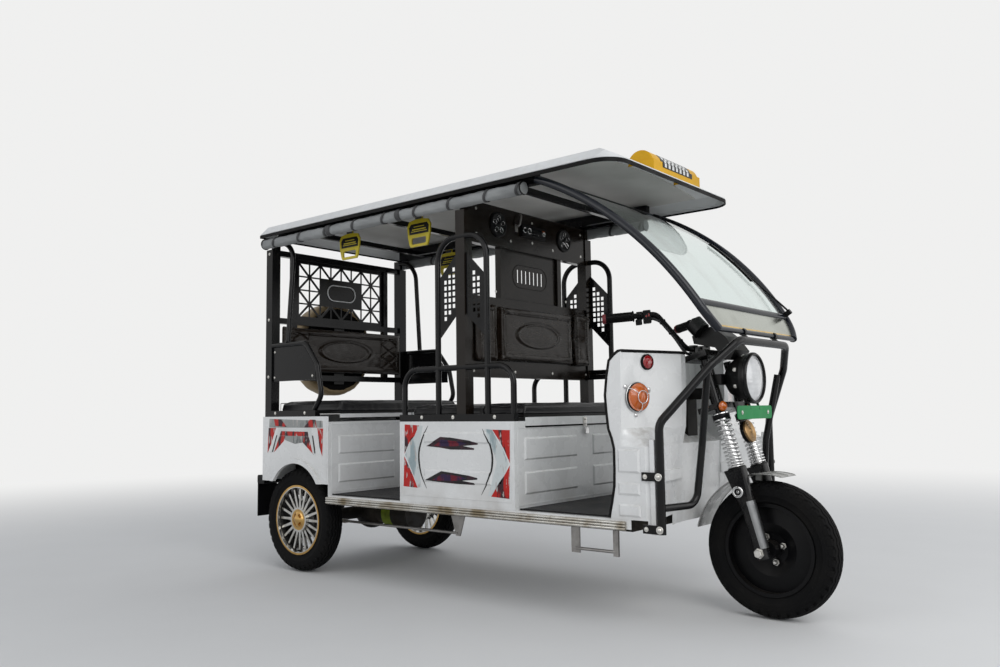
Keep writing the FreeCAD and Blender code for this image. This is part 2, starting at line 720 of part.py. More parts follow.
def build_rails():
    """Armrest loops, tall arches, top rails and the rail beside the driver."""
    y = -(body_half_width - 20)
    base_middle = middle_panel_top + rail_height
    base_rear = rear_panel_top + rail_height
    rear_post_front = body_rear_x + panel_thickness + post_size
    middle_post = block(mid_post_x - post_size / 2, mid_post_x + post_size / 2, -post_inner_y - post_size,
                        -post_inner_y, floor_top, post_top)
    rails = []
    for x0, x1, top in ((middle_box_rear_x, middle_box_front_x, base_middle),
                        (rear_post_front, body_rear_x + 420, base_rear)):
        rails.append(block(x0, x1, -body_half_width, -body_half_width + rail_depth, top - rail_height, top))
    loop = bent_tube([V(middle_box_rear_x + 14, y, base_middle), V(middle_box_rear_x + 14, y, 954),
                      V(middle_box_front_x - 14, y, 954), V(middle_box_front_x - 14, y, base_middle)],
                     thin_tube, 75)
    half_arch = 138
    arch = bent_tube([V(mid_post_x - half_arch, y, base_middle), V(mid_post_x - half_arch, y, 1508),
                      V(mid_post_x + half_arch, y, 1508), V(mid_post_x + half_arch, y, base_middle)],
                     thin_tube, 95)
    inner = half_arch - thin_tube / 2
    plates = []
    for side in (-1, 1):
        near = mid_post_x + side * post_size / 2
        far = mid_post_x + side * inner
        plate = plate_along_y([(near, 1180), (far, 1080), (far, 1340), (near, 1440)], y - 1.5, y + 1.5)
        holes = []
        for column in range(3):
            for row in range(11):
                x_a = mid_post_x + side * (post_size / 2 + 20 + column * 24)
                z_a = 1130 + row * 26
                lowest = 1180 - (abs(x_a - near) / (inner - post_size / 2)) * 100 + 24
                highest = 1440 - (abs(x_a - near) / (inner - post_size / 2)) * 100 - 44
                if lowest < z_a < highest:
                    holes.append(block(x_a - 8, x_a + 8, y - 10, y + 10, z_a, z_a + 17))
        plates.append(plate.cut(Part.makeCompound(holes)))
    rear = body_rear_x
    rest = bent_tube([V(rear_post_front, y, 1120), V(rear + 320, y, 1120), V(rear + 412, y, 1010),
                      V(rear + 445, y, 860), V(rear + 390, y, base_rear)], thin_tube, 60)
    rest = rest.cut(rails[1])
    rest_plate = plate_along_y([(rear_post_front, 935), (rear + 400, 935), (rear + 398, 1000),
                                (rear + 305, 1108), (rear_post_front, 1108)], y - 1.5, y + 1.5)
    rest_plate = rest_plate.cut(rest)
    rail_y = lid_half_width + thin_tube / 2 + 5.5
    wing_inner = body_half_width - 5
    rail_end_x = deck_front_x - 67
    far_rail = bent_tube([V(mid_post_x + post_size / 2, rail_y, partition_rail_z),
                          V(rail_end_x, rail_y, partition_rail_z), V(rail_end_x, wing_inner, partition_rail_z)],
                         thin_tube, 40)
    grab_rails = joined([rails[0], loop, arch]).cut(middle_post)
    return {"side_rails": both_sides(grab_rails.Solids + plates) + [far_rail],
            "rear_armrests": both_sides([rails[1], rest, rest_plate])}


def rounded_prism(x0, x1, half_width, corner, z0, z1):
    """An upright block whose two front corners are round."""
    shape = block(x0, x1, -half_width, half_width, z0, z1)
    upright = [edge for edge in shape.Edges
               if abs(edge.tangentAt(edge.FirstParameter).z) > 0.9 and edge.CenterOfMass.x > x1 - 1]
    return shape.makeFillet(corner, upright)


def roof_section(inset, bottom):
    """Half outline across the roof: edge, shoulder and the end of the crown, moved in by inset."""
    edge_y = roof_half_width - inset
    flange_z = roof_edge_z + roof_flange
    shoulder_y = edge_y - roof_shoulder_run
    shoulder_z = flange_z + roof_shoulder_rise - inset
    return [(edge_y, bottom), (edge_y, flange_z - inset), (shoulder_y, shoulder_z)]


def roof_body(inset, bottom):
    """The roof as a closed body: crowned top, sloped shoulders, bevelled and rounded front."""
    half = roof_section(inset, bottom)
    crown_z = half[-1][1] + roof_crown
    x0 = roof_rear_x + inset
    x1 = roof_front_x - inset
    right = [V(x0, -y, z) for y, z in half]
    left = [V(x0, y, z) for y, z in half]
    edges = [Part.LineSegment(a, b).toShape() for a, b in zip(right, right[1:])]
    edges.append(Part.Arc(right[-1], V(x0, 0, crown_z), left[-1]).toShape())
    edges += [Part.LineSegment(b, a).toShape() for a, b in zip(left, left[1:])][::-1]
    edges.append(Part.LineSegment(left[0], right[0]).toShape())
    body = Part.Face(Part.Wire(edges)).extrude(V(x1 - x0, 0, 0))
    body = body.common(rounded_prism(x0, x1, roof_half_width - inset, roof_corner - inset, bottom,
                                     crown_z + 1))
    flange_z = half[1][1]
    wedge = plate_along_y([(x1 + 1, flange_z), (x1 + 1, crown_z + 5), (x1 - roof_bevel, crown_z + 5)],
                          -roof_half_width, roof_half_width)
    tail = plate_along_y([(x0 - 1, flange_z), (x0 - 1, crown_z + 5), (x0 + roof_tail_bevel, crown_z + 5)],
                         -roof_half_width, roof_half_width)
    return body.cut(wedge).cut(tail)


def roof_under_z(y):
    """Height of the roof's inner face above the place y."""
    shoulder_y, shoulder_z = roof_section(roof_wall, roof_edge_z)[-1]
    radius = (shoulder_y ** 2 + roof_crown ** 2) / (2 * roof_crown)
    return shoulder_z + roof_crown - radius + math.sqrt(radius ** 2 - y ** 2)


def grab_handle(x, side):
    """A hanging handle: a plate with a sunk field above and a finger loop below."""
    w = handle_width / 2
    top = post_top - 8
    bottom = top - handle_height
    neck = 22
    y0 = side * handle_y - handle_thickness / 2
    y1 = y0 + handle_thickness
    shape = plate_along_y([(x - neck, top + 8), (x + neck, top + 8), (x + neck, top - 8), (x + w * 0.8, top - 14),
                           (x + w, top - 38), (x + w * 0.94, top - 84), (x + w * 0.8, bottom + 12),
                           (x + w * 0.7, bottom), (x - w * 0.7, bottom), (x - w * 0.8, bottom + 12),
                           (x - w * 0.94, top - 84), (x - w, top - 38), (x - w * 0.8, top - 14),
                           (x - neck, top - 8)], y0, y1)
    loop = rounded_block(x - w * 0.62, x + w * 0.62, y0 - 1, y1 + 1, bottom + 12, bottom + 42, 8, "y")
    shape = shape.cut(loop)
    for face_y in (y0, y1):
        field = plate_along_y([(x - w * 0.84, top - 78), (x + w * 0.84, top - 78), (x + w * 0.88, top - 42),
                               (x + w * 0.7, top - 26), (x - w * 0.7, top - 26), (x - w * 0.88, top - 42)],
                              face_y - 2, face_y + 2)
        shape = shape.cut(field)
    return shape


def build_roof():
    shell = roof_body(0, roof_edge_z).cut(roof_body(roof_wall, roof_edge_z - 5))
    bead_z0 = roof_edge_z - bead_height / 2
    bead = rounded_prism(roof_rear_x - bead_width, roof_front_x + bead_width, roof_half_width + bead_width,
                         roof_corner + bead_width, bead_z0, bead_z0 + bead_height)
    bead = bead.cut(rounded_prism(roof_rear_x, roof_front_x, roof_half_width, roof_corner, bead_z0 - 1,
                                  bead_z0 + bead_height + 1))
    liner_y = roof_section(roof_wall, roof_edge_z)[-1][0] - 12
    liner_x0 = roof_rear_x + roof_tail_bevel + 12
    liner_x1 = roof_front_x - roof_bevel - 12
    edges = []
    for lift in (0, -liner_thickness):
        edges.append([V(liner_x0, y, roof_under_z(y) + lift) for y in (-liner_y, 0, liner_y)])
    top, bottom = edges
    wire = Part.Wire([Part.Arc(*top).toShape(), Part.LineSegment(top[2], bottom[2]).toShape(),
                      Part.Arc(*reversed(bottom)).toShape(), Part.LineSegment(bottom[0], top[0]).toShape()])
    liner = Part.Face(wire).extrude(V(liner_x1 - liner_x0, 0, 0))
    bar = rail_tube
    bar_top = roof_under_z(roof_bar_y + bar / 2) - liner_thickness - running_gap
    hoop_rear = screen_top_x - hoop_radius - running_gap
    frame = []
    for y in (-roof_bar_y, roof_bar_y):
        frame.append(block(liner_x0, hoop_rear, y - bar / 2, y + bar / 2, post_top, bar_top))
    inner = roof_bar_y - bar / 2
    handle_bar_y = handle_y - thin_tube / 2
    bar_run = handle_bar_front_x - handle_bar_rear_x
    for x in (handle_bar_rear_x, handle_bar_rear_x + 0.378 * bar_run, handle_bar_front_x):
        frame.append(block(x, x + thin_tube, -inner, inner, post_top, post_top + thin_tube))
    for side in (-1, 1):
        low, high = sorted((side * handle_bar_y, side * (handle_bar_y + thin_tube)))
        frame.append(block(handle_bar_rear_x, handle_bar_front_x, low, high, post_top, post_top + thin_tube))
    roll_y = roof_bar_y + bar / 2 + running_gap + roll_radius
    roll_z = roof_edge_z - bead_height / 2 - roll_radius
    rolls = []
    for side in (-1, 1):
        rolls.append(rod(V(roof_rear_x, side * roll_y, roll_z), V(roll_front_x, side * roll_y, roll_z),
                         roll_radius))
    handles = [grab_handle(handle_bar_rear_x + share * bar_run, side)
               for share in handle_places for side in (-1, 1)]
    return {"roof_shell": [shell], "roof_bead": [bead], "roof_headliner": [liner], "curtain_rolls": rolls,
            "roof_frame": [joined(frame)], "grab_handles": handles}


def tangent_arc(start, along, end):
    """An arc from start, leaving it in the direction along, to end."""
    chord = end - start
    side = chord - along * chord.dot(along)
    side.normalize()
    radius = chord.dot(chord) / (2 * chord.dot(side))
    centre = start + side * radius
    middle = centre + ((start + end) * 0.5 - centre).normalize() * radius
    return Part.Arc(start, middle, end)


def screen_side(inset=0):
    """The right edge of the windscreen: one long arc to the cross tube, one short arc to the chin's foot."""
    top = V(screen_top_x, -screen_top_y + inset, screen_top_z)
    middle = V(screen_mid_x, -screen_mid_y + inset, screen_mid_z)
    low = V(screen_low_x, -screen_low_y + inset, screen_low_z)
    long_arc = Part.Arc(top, middle, low)
    along = long_arc.tangent(long_arc.LastParameter)[0]
    foot = V(chin_low_x, -chin_low_y + inset, chin_low_z)
    return long_arc.toShape(), tangent_arc(low, along.normalize(), foot).toShape()


def build_windscreen():
    upper, lower = screen_side()
    start = upper.Vertexes[0].Point
    section = Part.Wire(Part.makeCircle(frame_tube / 2, start, upper.tangentAt(upper.FirstParameter)))
    side = Part.Wire([upper, lower]).makePipeShell([section], True, False)
    hoop = rod(V(screen_top_x, -screen_top_y, screen_top_z), V(screen_top_x, screen_top_y, screen_top_z),
               hoop_radius)
    cross = rod(V(screen_low_x, -screen_low_y, screen_low_z), V(screen_low_x, screen_low_y, screen_low_z), 14)
    foot = rod(V(chin_low_x, -chin_low_y, chin_low_z), V(chin_low_x, chin_low_y, chin_low_z),
               chin_tube_radius)
    frame = joined([side, flip(side), hoop, cross, foot])
    upper, lower = screen_side(frame_tube / 2 + 0.3)
    outward = V(0.76, 0, 0.65)
    panes = []
    for edge, thickness in ((upper, glass_thickness), (lower, 3)):
        face = Part.makeRuledSurface(edge, flip(edge))
        panes.append(face.extrude(outward * thickness).cut(frame))
    glass, chin = panes
    return {"windscreen_frame": [frame], "windscreen_glass": glass.Solids, "windscreen_chin": chin.Solids}


def build_wiper():
    """Wiper on the left: pivot on the cross tube, straight arm, blade bent to the glass."""
    arc = Part.Arc(V(screen_top_x, 0, screen_top_z), V(screen_mid_x, 0, screen_mid_z),
                   V(screen_low_x, 0, screen_low_z)).toShape().Curve
    centre = arc.Center
    radius = arc.Radius

    def over_glass(z, y, lift):
        reach = radius + lift
        return V(centre.x + math.sqrt(reach ** 2 - (z - centre.z) ** 2), y, z)

    skin = glass_thickness + 3
    edges = []
    for lift in (skin, skin + 10):
        middle_z = (wiper_blade_top_z + wiper_blade_low_z) / 2
        edges.append([over_glass(z, wiper_blade_y, lift)
                      for z in (wiper_blade_low_z, middle_z, wiper_blade_top_z)])
    inner, outer = edges
    wire = Part.Wire([Part.Arc(*inner).toShape(), Part.LineSegment(inner[2], outer[2]).toShape(),
                      Part.Arc(*reversed(outer)).toShape(), Part.LineSegment(outer[0], inner[0]).toShape()])
    blade = Part.Face(wire).extrude(V(0, 8, 0))
    base = V(screen_low_x, wiper_base_y, screen_low_z)
    normal = (base - V(centre.x, wiper_base_y, centre.z)).normalize()
    pivot = rod(base + normal * (14 + running_gap), base + normal * 44, 11)
    arm = rod(base + normal * 38, over_glass(middle_z, wiper_blade_y + 4, skin + 8), 4)
    return {"wiper": [joined([blade, pivot, arm])]}


def build_front_panel():
    front = deck_front_x
    side = body_half_width
    recess = fork_leg_y + leg_head_radius + fork_room
    wall = 5
    solids = []
    for lower, upper in zip(shield_levels, shield_levels[1:]):
        rings = []
        for z, reaches, insets in (lower, upper):
            across = [side - inset for inset in insets] + [recess + step for step in shield_recess_steps]
            places = [(front + reach, y) for reach, y in zip(reaches, across)]
            outer = [V(x, -y, z) for x, y in places] + [V(places[-1][0], 0, z)]
            inner = [V(x - wall, -(y - wall), z) for x, y in places[:-2]]
            inner[0] = V(places[0][0], -(places[0][1] - wall), z)
            inner += [V(x - wall, -(y + wall), z) for x, y in places[-2:]] + [V(places[-1][0] - wall, 0, z)]
            rings.append(outline(outer + inner[::-1]))
        solids.append(Part.makeLoft(rings, True, True))
    right = joined(solids)
    neck_slot = block(front - chassis_tube - 1, front + 1, -chassis_tube - 1, chassis_tube + 1, 630, 730)
    fields = [side_field(-side, -1, front - 47, front + 43, z0, z1, emboss_depth)
              for z0, z1 in ((395, 440), (470, 515), (548, 632))]
    right = joined([right] + fields)
    whole = joined([right, flip(right)]).cut(neck_slot)
    foot = block(front - 162, front + 68, -side - 1, side + 1, 300, floor_top)
    middle_half = chassis_rail_y - chassis_tube / 2
    middle = block(front - 162, front + 68, -middle_half, middle_half, 300, floor_top)
    whole = whole.cut(foot.cut(middle))
    lamps = []
    lens_centre = V(front - 4, 69 - side, 815)
    facing = V(0.956, -0.292, 0)
    base = Part.makeCylinder(50, 14, lens_centre, facing)
    dome_radius = 63
    dome = Part.makeSphere(dome_radius, lens_centre + facing * (32 - dome_radius))
    dome = dome.common(Part.makeCylinder(44, 40, lens_centre + facing * 14, facing))
    lamps.append(joined([base, dome]))
    return {"front_panel": [whole], "side_lamps": both_sides(lamps)}


def build_guard():
    d = guard_tube
    y = body_half_width + 4 - d / 2
    leg_x = guard_leg_x
    cross_x = guard_cross_x
    cross_z = guard_cross_z
    cross_y = y - 262
    knee = V(leg_x + 132, y - 149, cross_z - 89)
    main = [V(leg_x, -y, 342), V(leg_x, -y, 720), V(knee.x, -knee.y, knee.z), V(cross_x, -cross_y, cross_z),
            V(cross_x, cross_y, cross_z), knee, V(leg_x, y, 720), V(leg_x, y, 342)]
    pieces = [bent_tube(main, d, 60)]
    inner = [V(leg_x, -y + 2, 430), V(leg_x + 42, 179 - y, 430), V(leg_x + 64, 194 - y, 640),
             V(leg_x + 110, 161 - y, cross_z - 111)]
    pieces += both_sides([bent_tube(inner, d - 4, 50)])
    # ears that bolt to the sides of the shield, and clips that hold the windscreen's foot
    for z in (358, 538):
        ear = block(leg_x - 66, leg_x, -body_half_width - 4, -body_half_width, z - 15, z + 15)
        pieces += both_sides([ear])
    for place in (67 - cross_y, cross_y - 83):
        foot = V(chin_low_x, place, chin_low_z)
        ring = rod(foot, foot + V(0, 16, 0), chin_tube_radius + 5)
        ring = ring.cut(block(foot.x - 40, foot.x + 2, place - 1, place + 17, foot.z - 3, foot.z + 40))
        bore = rod(foot, foot + V(0, 16, 0), chin_tube_radius + running_gap)
        link = plate_along_y([(chin_low_x - 6, chin_low_z - 10), (chin_low_x + 6, chin_low_z - 8),
                              (cross_x + 8, cross_z + 8), (cross_x - 8, cross_z + 4)], place, place + 16)
        pieces.append(joined([ring, link]).cut(bore))
    return {"front_guard": [joined(pieces)]}


def build_running_gear():
    z = tyre_radius
    x = rear_axle_x
    reach = track / 2 - tyre_width / 2 - 12
    tube = rod(V(x, -reach, z), V(x, reach, z), axle_tube_radius)
    stub_reach = track / 2 + 10
    stub = rod(V(x, -stub_reach, z), V(x, stub_reach, z), stub_radius)
    diff = Part.makeSphere(diff_radius, V(x, 30, z))
    nose = rod(V(x, 30, z), V(x + 150, 30, z), 56)
    axle = joined([tube, stub, diff, nose])
    motor = rod(V(x + 150, 30, z), V(x + 330, 30, z), motor_radius)
    springs = []
    for side in (-1, 1):
        for index, share in enumerate((1.0, 0.72, 0.44)):
            half = spring_span / 2 * share
            rise = spring_sag * share * share
            base = z + axle_tube_radius + leaf_thickness * (2 - index)
            low = [V(x - half, 0, base + rise), V(x, 0, base), V(x + half, 0, base + rise)]
            high = [point + V(0, 0, leaf_thickness) for point in low]
            wire = Part.Wire([Part.Arc(*low).toShape(), Part.LineSegment(low[2], high[2]).toShape(),
                              Part.Arc(*reversed(high)).toShape(), Part.LineSegment(high[0], low[0]).toShape()])
            leaf = Part.Face(wire).extrude(V(0, leaf_width, 0))
            leaf.translate(V(0, side * chassis_rail_y - leaf_width / 2, 0))
            springs.append(leaf)
    right = joined(springs[:3])
    left = joined(springs[3:])
    battery_half = body_half_width - 80
    battery = block(-150, 200, -battery_half, battery_half, floor_top, floor_top + 235)
    bumper_top = rear_panel_bottom + 24
    bumper_low = bumper_top - 44
    bumper_half = body_half_width - 10
    bumper = [rounded_block(body_rear_x - bumper_depth, body_rear_x, -bumper_half, bumper_half, bumper_low,
                            bumper_top, 10, "y")]
    for side in (-1, 1):
        low, high = sorted((side * (bumper_half - 118), side * (bumper_half - 2)))
        bumper.append(block(body_rear_x - bumper_depth, body_rear_x - bumper_depth + 5, low, high, 250,
                            bumper_low + 20))
    lamps = []
    for side in (-1, 1):
        low, high = sorted((side * (bumper_half - 130), side * (bumper_half - 10)))
        lamps.append(rounded_block(body_rear_x - 24, body_rear_x, low, high, tail_lamp_z - 32, tail_lamp_z + 32,
                                   8, "x"))
    return {"rear_axle": [axle], "drive_motor": [motor], "leaf_springs": [right, left],
            "battery_pack": [battery], "rear_bumper": [joined(bumper)], "tail_lamps": lamps}


def build_brakes():
    """Pull rods below the floor: from the pedal's bracket to a hanger, and from it to the rear axle."""
    underside = chassis_top - chassis_tube
    axle_front = rear_axle_x + axle_tube_radius
    x = brake_hanger_x
    hanger = plate_along_y([(x - 50, underside), (x + 50, underside), (x + 12, brake_rod_z - 12),
                            (x - 12, brake_rod_z - 12)], brake_rod_y - 3, brake_rod_y + 3)
    rear_rod = rod(V(x, brake_rod_y, brake_rod_z), V(axle_front + running_gap, brake_rod_y, brake_rod_z), 6)
    clevis = block(rear_axle_x + 92, rear_axle_x + 152, brake_rod_y - 10, brake_rod_y + 10, brake_rod_z - 9,
                   brake_rod_z + 9)
    rears = both_sides([joined([hanger, rear_rod, clevis])])
    x = pedal_bracket_x
    y = -pedal_bracket_y
    plate = block(x - 19, x + 19, y - 3, y + 3, brake_rod_z, floor_top - floor_thickness)
    front_rod = rod(V(x, y, brake_rod_z + 16), V(x + 182, y, brake_rod_z + 16), 6)
    lever = block(x + 168, x + 190, y - 5, y + 5, brake_rod_z, chassis_top - chassis_tube)
    return {"brake_linkage": rears + [joined([plate, front_rod, lever])]}


def fork_leg(side):
    """A cast lower leg: wide below its spring, slim at the axle, flat on both sides, with a ring boss."""
    y = side * fork_leg_y
    along = (on_fork(leg_head_z) - on_fork(tyre_radius)).normalize()
    across = V(along.z, 0, -along.x)
    rings = []
    # height, radius, shift to the front
    for z, radius, shift in ((tyre_radius - 24, lower_radius, 0), (leg_waist_z, lower_radius + 2, 0),
                             (leg_head_z, leg_head_radius, -8)):
        rings.append(Part.Wire(Part.makeCircle(radius, on_fork(z, y) + across * shift, along)))
    leg = Part.makeLoft(rings, True, True)
    leg = leg.common(block(900, 1400, y - lower_radius, y + lower_radius, 150, 700))
    outer = y + side * lower_radius
    spot = V(on_fork(464).x - 12, outer, 464)
    ring = Part.makeCylinder(20, 6, spot, V(0, side, 0)).cut(Part.makeCylinder(13, 6, spot, V(0, side, 0)))
    return joined([leg, ring])


def lamp_bowl(grow):
    """The headlamp's bowl, or the room it takes when grown."""
    centre = V(lamp_x, 0, lamp_z)
    profile = [(0, 0), (0, lamp_radius), (-26, lamp_radius), (-62, 82), (-92, 60), (-110, 34), (-110, 0)]
    points = [centre + V(x - (grow if x == -110 else 0), 0, r + (grow if r else 0)) for x, r in profile]
    return Part.Face(outline(points)).revolve(centre, V(1, 0, 0), 360)


def lamp_hollow():
    """The bright bowl inside the headlamp."""
    centre = V(lamp_x, 0, lamp_z)
    profile = [(-46, 0), (-46, 24), (-30, 62), (-6, lens_radius), (0, lens_radius), (0, 0)]
    points = [centre + V(x, 0, r) for x, r in profile]
    return Part.Face(outline(points)).revolve(centre, V(1, 0, 0), 360)


def lamp_lens():
    """A domed glass that fills the bowl's mouth."""
    edge = V(lamp_x - 4, 0, lamp_z)
    dome_radius = (lens_radius ** 2 + lens_rise ** 2) / (2 * lens_rise)
    middle = edge + V(lens_rise - dome_radius, 0, 0)
    dome = Part.makeSphere(dome_radius, middle).cut(Part.makeSphere(dome_radius - lens_thickness, middle))
    return dome.common(Part.makeCylinder(lens_radius - running_gap, lens_rise + 1, edge, V(1, 0, 0)))


def hand_controls(bar):
    """Grips on the bar's ends, and a lever on a clamp ring beside each."""
    solids = []
    for end, corner in ((bar[0], bar[1]), (bar[-1], bar[-2])):
        along = (corner - end).normalize()
        bore = rod(end - along * running_gap, end + along * 200, bar_radius + running_gap)
        grip = rod(end - along * 4, end + along * grip_length, grip_radius)
        solids.append(grip.cut(bore))
        ahead = V(0, 0, 1).cross(along)
        ahead = ahead if ahead.x > 0 else ahead * -1
        ahead.normalize()
        place = end + along * (grip_length + 10)
        ring = rod(place, place + along * 22, grip_radius - 1)
        root = place + along * 11
        lever = bent_tube([root + ahead * 13, root + ahead * 46, root + ahead * 40 - along * 128], 9, 16)
        solids.append(joined([ring, lever]).cut(bore))
    return solids


def build_steering():
    lower_yoke_z = 765
    upper_yoke_z = 965
    stem = rod(on_steering_axis(lower_yoke_z - 10), on_steering_axis(upper_yoke_z + 20), stem_radius)
    pieces = [stem]
    for z in (lower_yoke_z, upper_yoke_z):
        base = on_steering_axis(z)
        lug = block(-30, fork_offset + 26, -fork_leg_y - 24, fork_leg_y + 24, -11, 11)
        lug.rotate(V(0, 0, 0), V(0, 1, 0), -math.degrees(rake))
        lug.translate(base)
        pieces.append(lug)
    for side in (-1, 1):
        y = side * fork_leg_y
        pieces.append(rod(on_fork(leg_head_z - 40, y), on_fork(upper_yoke_z - 12, y), stanchion_radius))
        pieces.append(fork_leg(side))
    axle = rod(V(front_axle_x, -fork_leg_y - 30, tyre_radius), V(front_axle_x, fork_leg_y + 30, tyre_radius),
               fork_axle_radius)
    clamp_z = upper_yoke_z - 4
    for y0 in (-44, 20):
        clamp = block(bar_x - 13, bar_x + 13, y0, y0 + 24, clamp_z, bar_z + 15)
        pieces.append(clamp.cut(rod(V(bar_x, -60, bar_z), V(bar_x, 60, bar_z), bar_radius + running_gap)))
    fork = joined(pieces + [axle])
    springs = []
    for side in (-1, 1):
        y = side * fork_leg_y
        base = on_fork(leg_head_z + 2, y)
        top = on_fork(spring_top_z, y)
        tube = rod(base, top, spring_radius).cut(rod(base, top, stanchion_radius + 0.3))
        springs.append(tube)
    bar = [V(651, -303, 1122), V(818, -190, 1137), V(bar_x, -95, bar_z), V(bar_x, 95, bar_z),
           V(818, 190, 1137), V(651, 303, 1122)]
    handle = bent_tube(bar, 2 * bar_radius, 32)
    pot = lamp_bowl(0).cut(lamp_hollow())
    cowl = plate_along_y([(912, 1022), (905, 1052), (940, 1074), (988, 1086), (1040, 1046), (1082, 990),
                          (1060, 955), (1038, 955), (1000, 1003)], -cowl_half_width, cowl_half_width)
    pod = rod(V(954, -cowl_half_width - 14, 1068), V(922, -cowl_half_width - 14, 1102), 36)
    cowl = joined([cowl, pod]).cut(lamp_bowl(running_gap))
    horn = Part.makeCylinder(horn_radius, 20, V(fork_offset + 30, 0, -112), V(1, 0, 0))
    strap = block(fork_offset + 26, fork_offset + 30, -15, 15, -112, 8)
    horn = joined([horn, strap])
    horn.rotate(V(0, 0, 0), V(0, 1, 0), -math.degrees(rake))
    horn.translate(on_steering_axis(lower_yoke_z))
    brace_half = fork_leg_y - stanchion_radius - 0.3
    brace = block(990, 1030, -brace_half, brace_half, 860, 900)
    centre = V(front_axle_x, 0, tyre_radius)
    guard = []
    for radius in (mudguard_radius, mudguard_radius + mudguard_thickness):
        guard.append(Part.makeCylinder(radius, 2 * mudguard_half_width,
                                       V(centre.x, -mudguard_half_width, centre.z), V(0, 1, 0)))
    ring = guard[1].cut(guard[0])
    wedge = plate_along_y([(centre.x, centre.z), (centre.x - 600, centre.z + 150),
                           (centre.x - 600, centre.z + 600), (centre.x + 160, centre.z + 600)], -200, 200)
    stays = []
    for x, z in ((on_fork(505).x, 505), (on_fork(470).x, 470)):
        reach = fork_leg_y - lower_radius
        stays.append(block(x - 12, x + 12, mudguard_half_width - 2, reach, z - 12, z + 12))
    mudguard = joined([ring.common(wedge)] + both_sides(stays))
    return {"fork": [fork], "fork_springs": springs, "handlebar": [handle] + hand_controls(bar),
            "headlamp": [joined([pot, brace]), cowl], "headlamp_lens": [lamp_lens()],
            "front_mudguard": [mudguard], "horn": [horn]}


def lid_and_pad(axis_x, front_x, top_z, outward, height, overhang):
    """A hinged lid with its cushion: the lid lies between its hinge line and the box front."""
    half = lid_half_width
    low, high = sorted((axis_x, front_x))
    knuckles, notches = hinge_parts(axis_x, top_z, outward, top_z - 15)[1:]
    lid = block(low, high, -half, half, top_z - lid_thickness, top_z).cut(notches)
    low, high = sorted((axis_x + outward * cushion_setback, front_x + outward * overhang))
    pad = rounded_block(low, high, -half, half, top_z, top_z + height, 18)
    return [joined([lid] + knuckles)], [pad]


def build_lids():
    parts = {}
    # name, hinge line, box front, lid top, outward direction, cushion height, cushion overhang
    for name, axis_x, front_x, top_z, outward, height, overhang in (
            ("driver", mid_post_x + driver_hinge_gap, middle_box_front_x, middle_lid_z, 1,
             front_cushion_height, 2),
            ("bench", mid_post_x - driver_hinge_gap, middle_box_rear_x, middle_lid_z, -1,
             front_cushion_height, 2),
            ("rear", rear_hinge_x, rear_box_front_x, rear_lid_z + lid_thickness, 1, rear_cushion_height, 8)):
        lid, pad = lid_and_pad(axis_x, front_x, top_z, outward, height, overhang)
        parts[name + "_lid"] = lid
        parts[name + "_cushion"] = pad
    return parts


def build_sign():
    """A half-round sign across the roof's front, standing on a foot with its ends cut square."""
    base_z = roof_edge_z + roof_flange + roof_shoulder_rise + roof_crown - 36
    centre = V(sign_x, 0, base_z)
    drum = rod(centre + V(0, -sign_half_width, 0), centre + V(0, sign_half_width, 0), sign_radius)
    foot_half = sign_half_width + 6
    foot = block(sign_x - sign_radius - 6, sign_x + sign_radius + 6, -foot_half, foot_half, base_z - 60,
                 base_z + 12)
    sign = joined([drum, foot])
    sign = sign.cut(roof_body(0, roof_edge_z - 200))
    front_clear = block(roof_front_x - 4, sign_x + 2 * sign_radius, -foot_half, foot_half,
                        base_z - 2 * sign_radius, base_z + 2 * sign_radius)
    return {"roof_sign": [sign.cut(front_clear)]}


def main():
    os.makedirs("parts", exist_ok=True)
    nodes = {}
    for make in (build_wheels, build_spare, build_chassis, build_floor, build_body_panels, build_partition,
                 build_rear_frame, build_rails, build_roof, build_windscreen, build_wiper, build_front_panel,
                 build_guard, build_running_gear, build_brakes, build_steering, build_lids, build_sign):
        nodes.update(make())
    for name, solids in nodes.items():
        shape = solids[0] if len(solids) == 1 else Part.makeCompound(solids)
        shape.exportStep("parts/" + name + ".step")
    print(len(nodes), "nodes")


main()
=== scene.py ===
import math
from contextlib import contextmanager

import bmesh
import bpy
from mathutils import Matrix, Vector


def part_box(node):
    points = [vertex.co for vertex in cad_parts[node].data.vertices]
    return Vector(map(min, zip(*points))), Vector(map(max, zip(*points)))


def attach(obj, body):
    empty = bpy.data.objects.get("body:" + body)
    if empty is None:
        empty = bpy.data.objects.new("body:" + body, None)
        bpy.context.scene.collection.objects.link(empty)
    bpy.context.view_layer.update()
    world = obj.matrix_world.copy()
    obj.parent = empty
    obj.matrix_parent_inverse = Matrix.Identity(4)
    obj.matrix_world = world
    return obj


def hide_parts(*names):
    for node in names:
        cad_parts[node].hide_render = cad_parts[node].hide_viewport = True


# Looks of the battery auto rickshaw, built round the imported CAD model. Metres, +X forward, +Y left, +Z up.

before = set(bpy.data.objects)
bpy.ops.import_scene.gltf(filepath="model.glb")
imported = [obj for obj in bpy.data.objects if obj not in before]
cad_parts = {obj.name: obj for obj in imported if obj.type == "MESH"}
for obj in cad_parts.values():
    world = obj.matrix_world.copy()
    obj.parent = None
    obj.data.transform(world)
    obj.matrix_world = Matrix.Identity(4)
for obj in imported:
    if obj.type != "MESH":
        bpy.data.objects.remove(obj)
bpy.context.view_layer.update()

# Places and sizes that the part has too
sides = ((-1, "right"), (1, "left"))
front_axle = Vector((1.172, 0.0, 0.250))
rear_axle_x = -1.052
track_half = 0.420
tyre_radius = 0.250
rake = math.radians(16)
fork_leg_y = 0.100
fork_up = Vector((-math.sin(rake), 0, math.cos(rake)))
headlamp_place = Vector((1.128, 0, 0.883))
side_face = 0.490
emboss_depth = 0.005
spare_centre = Vector((-1.364, 0, 1.125))
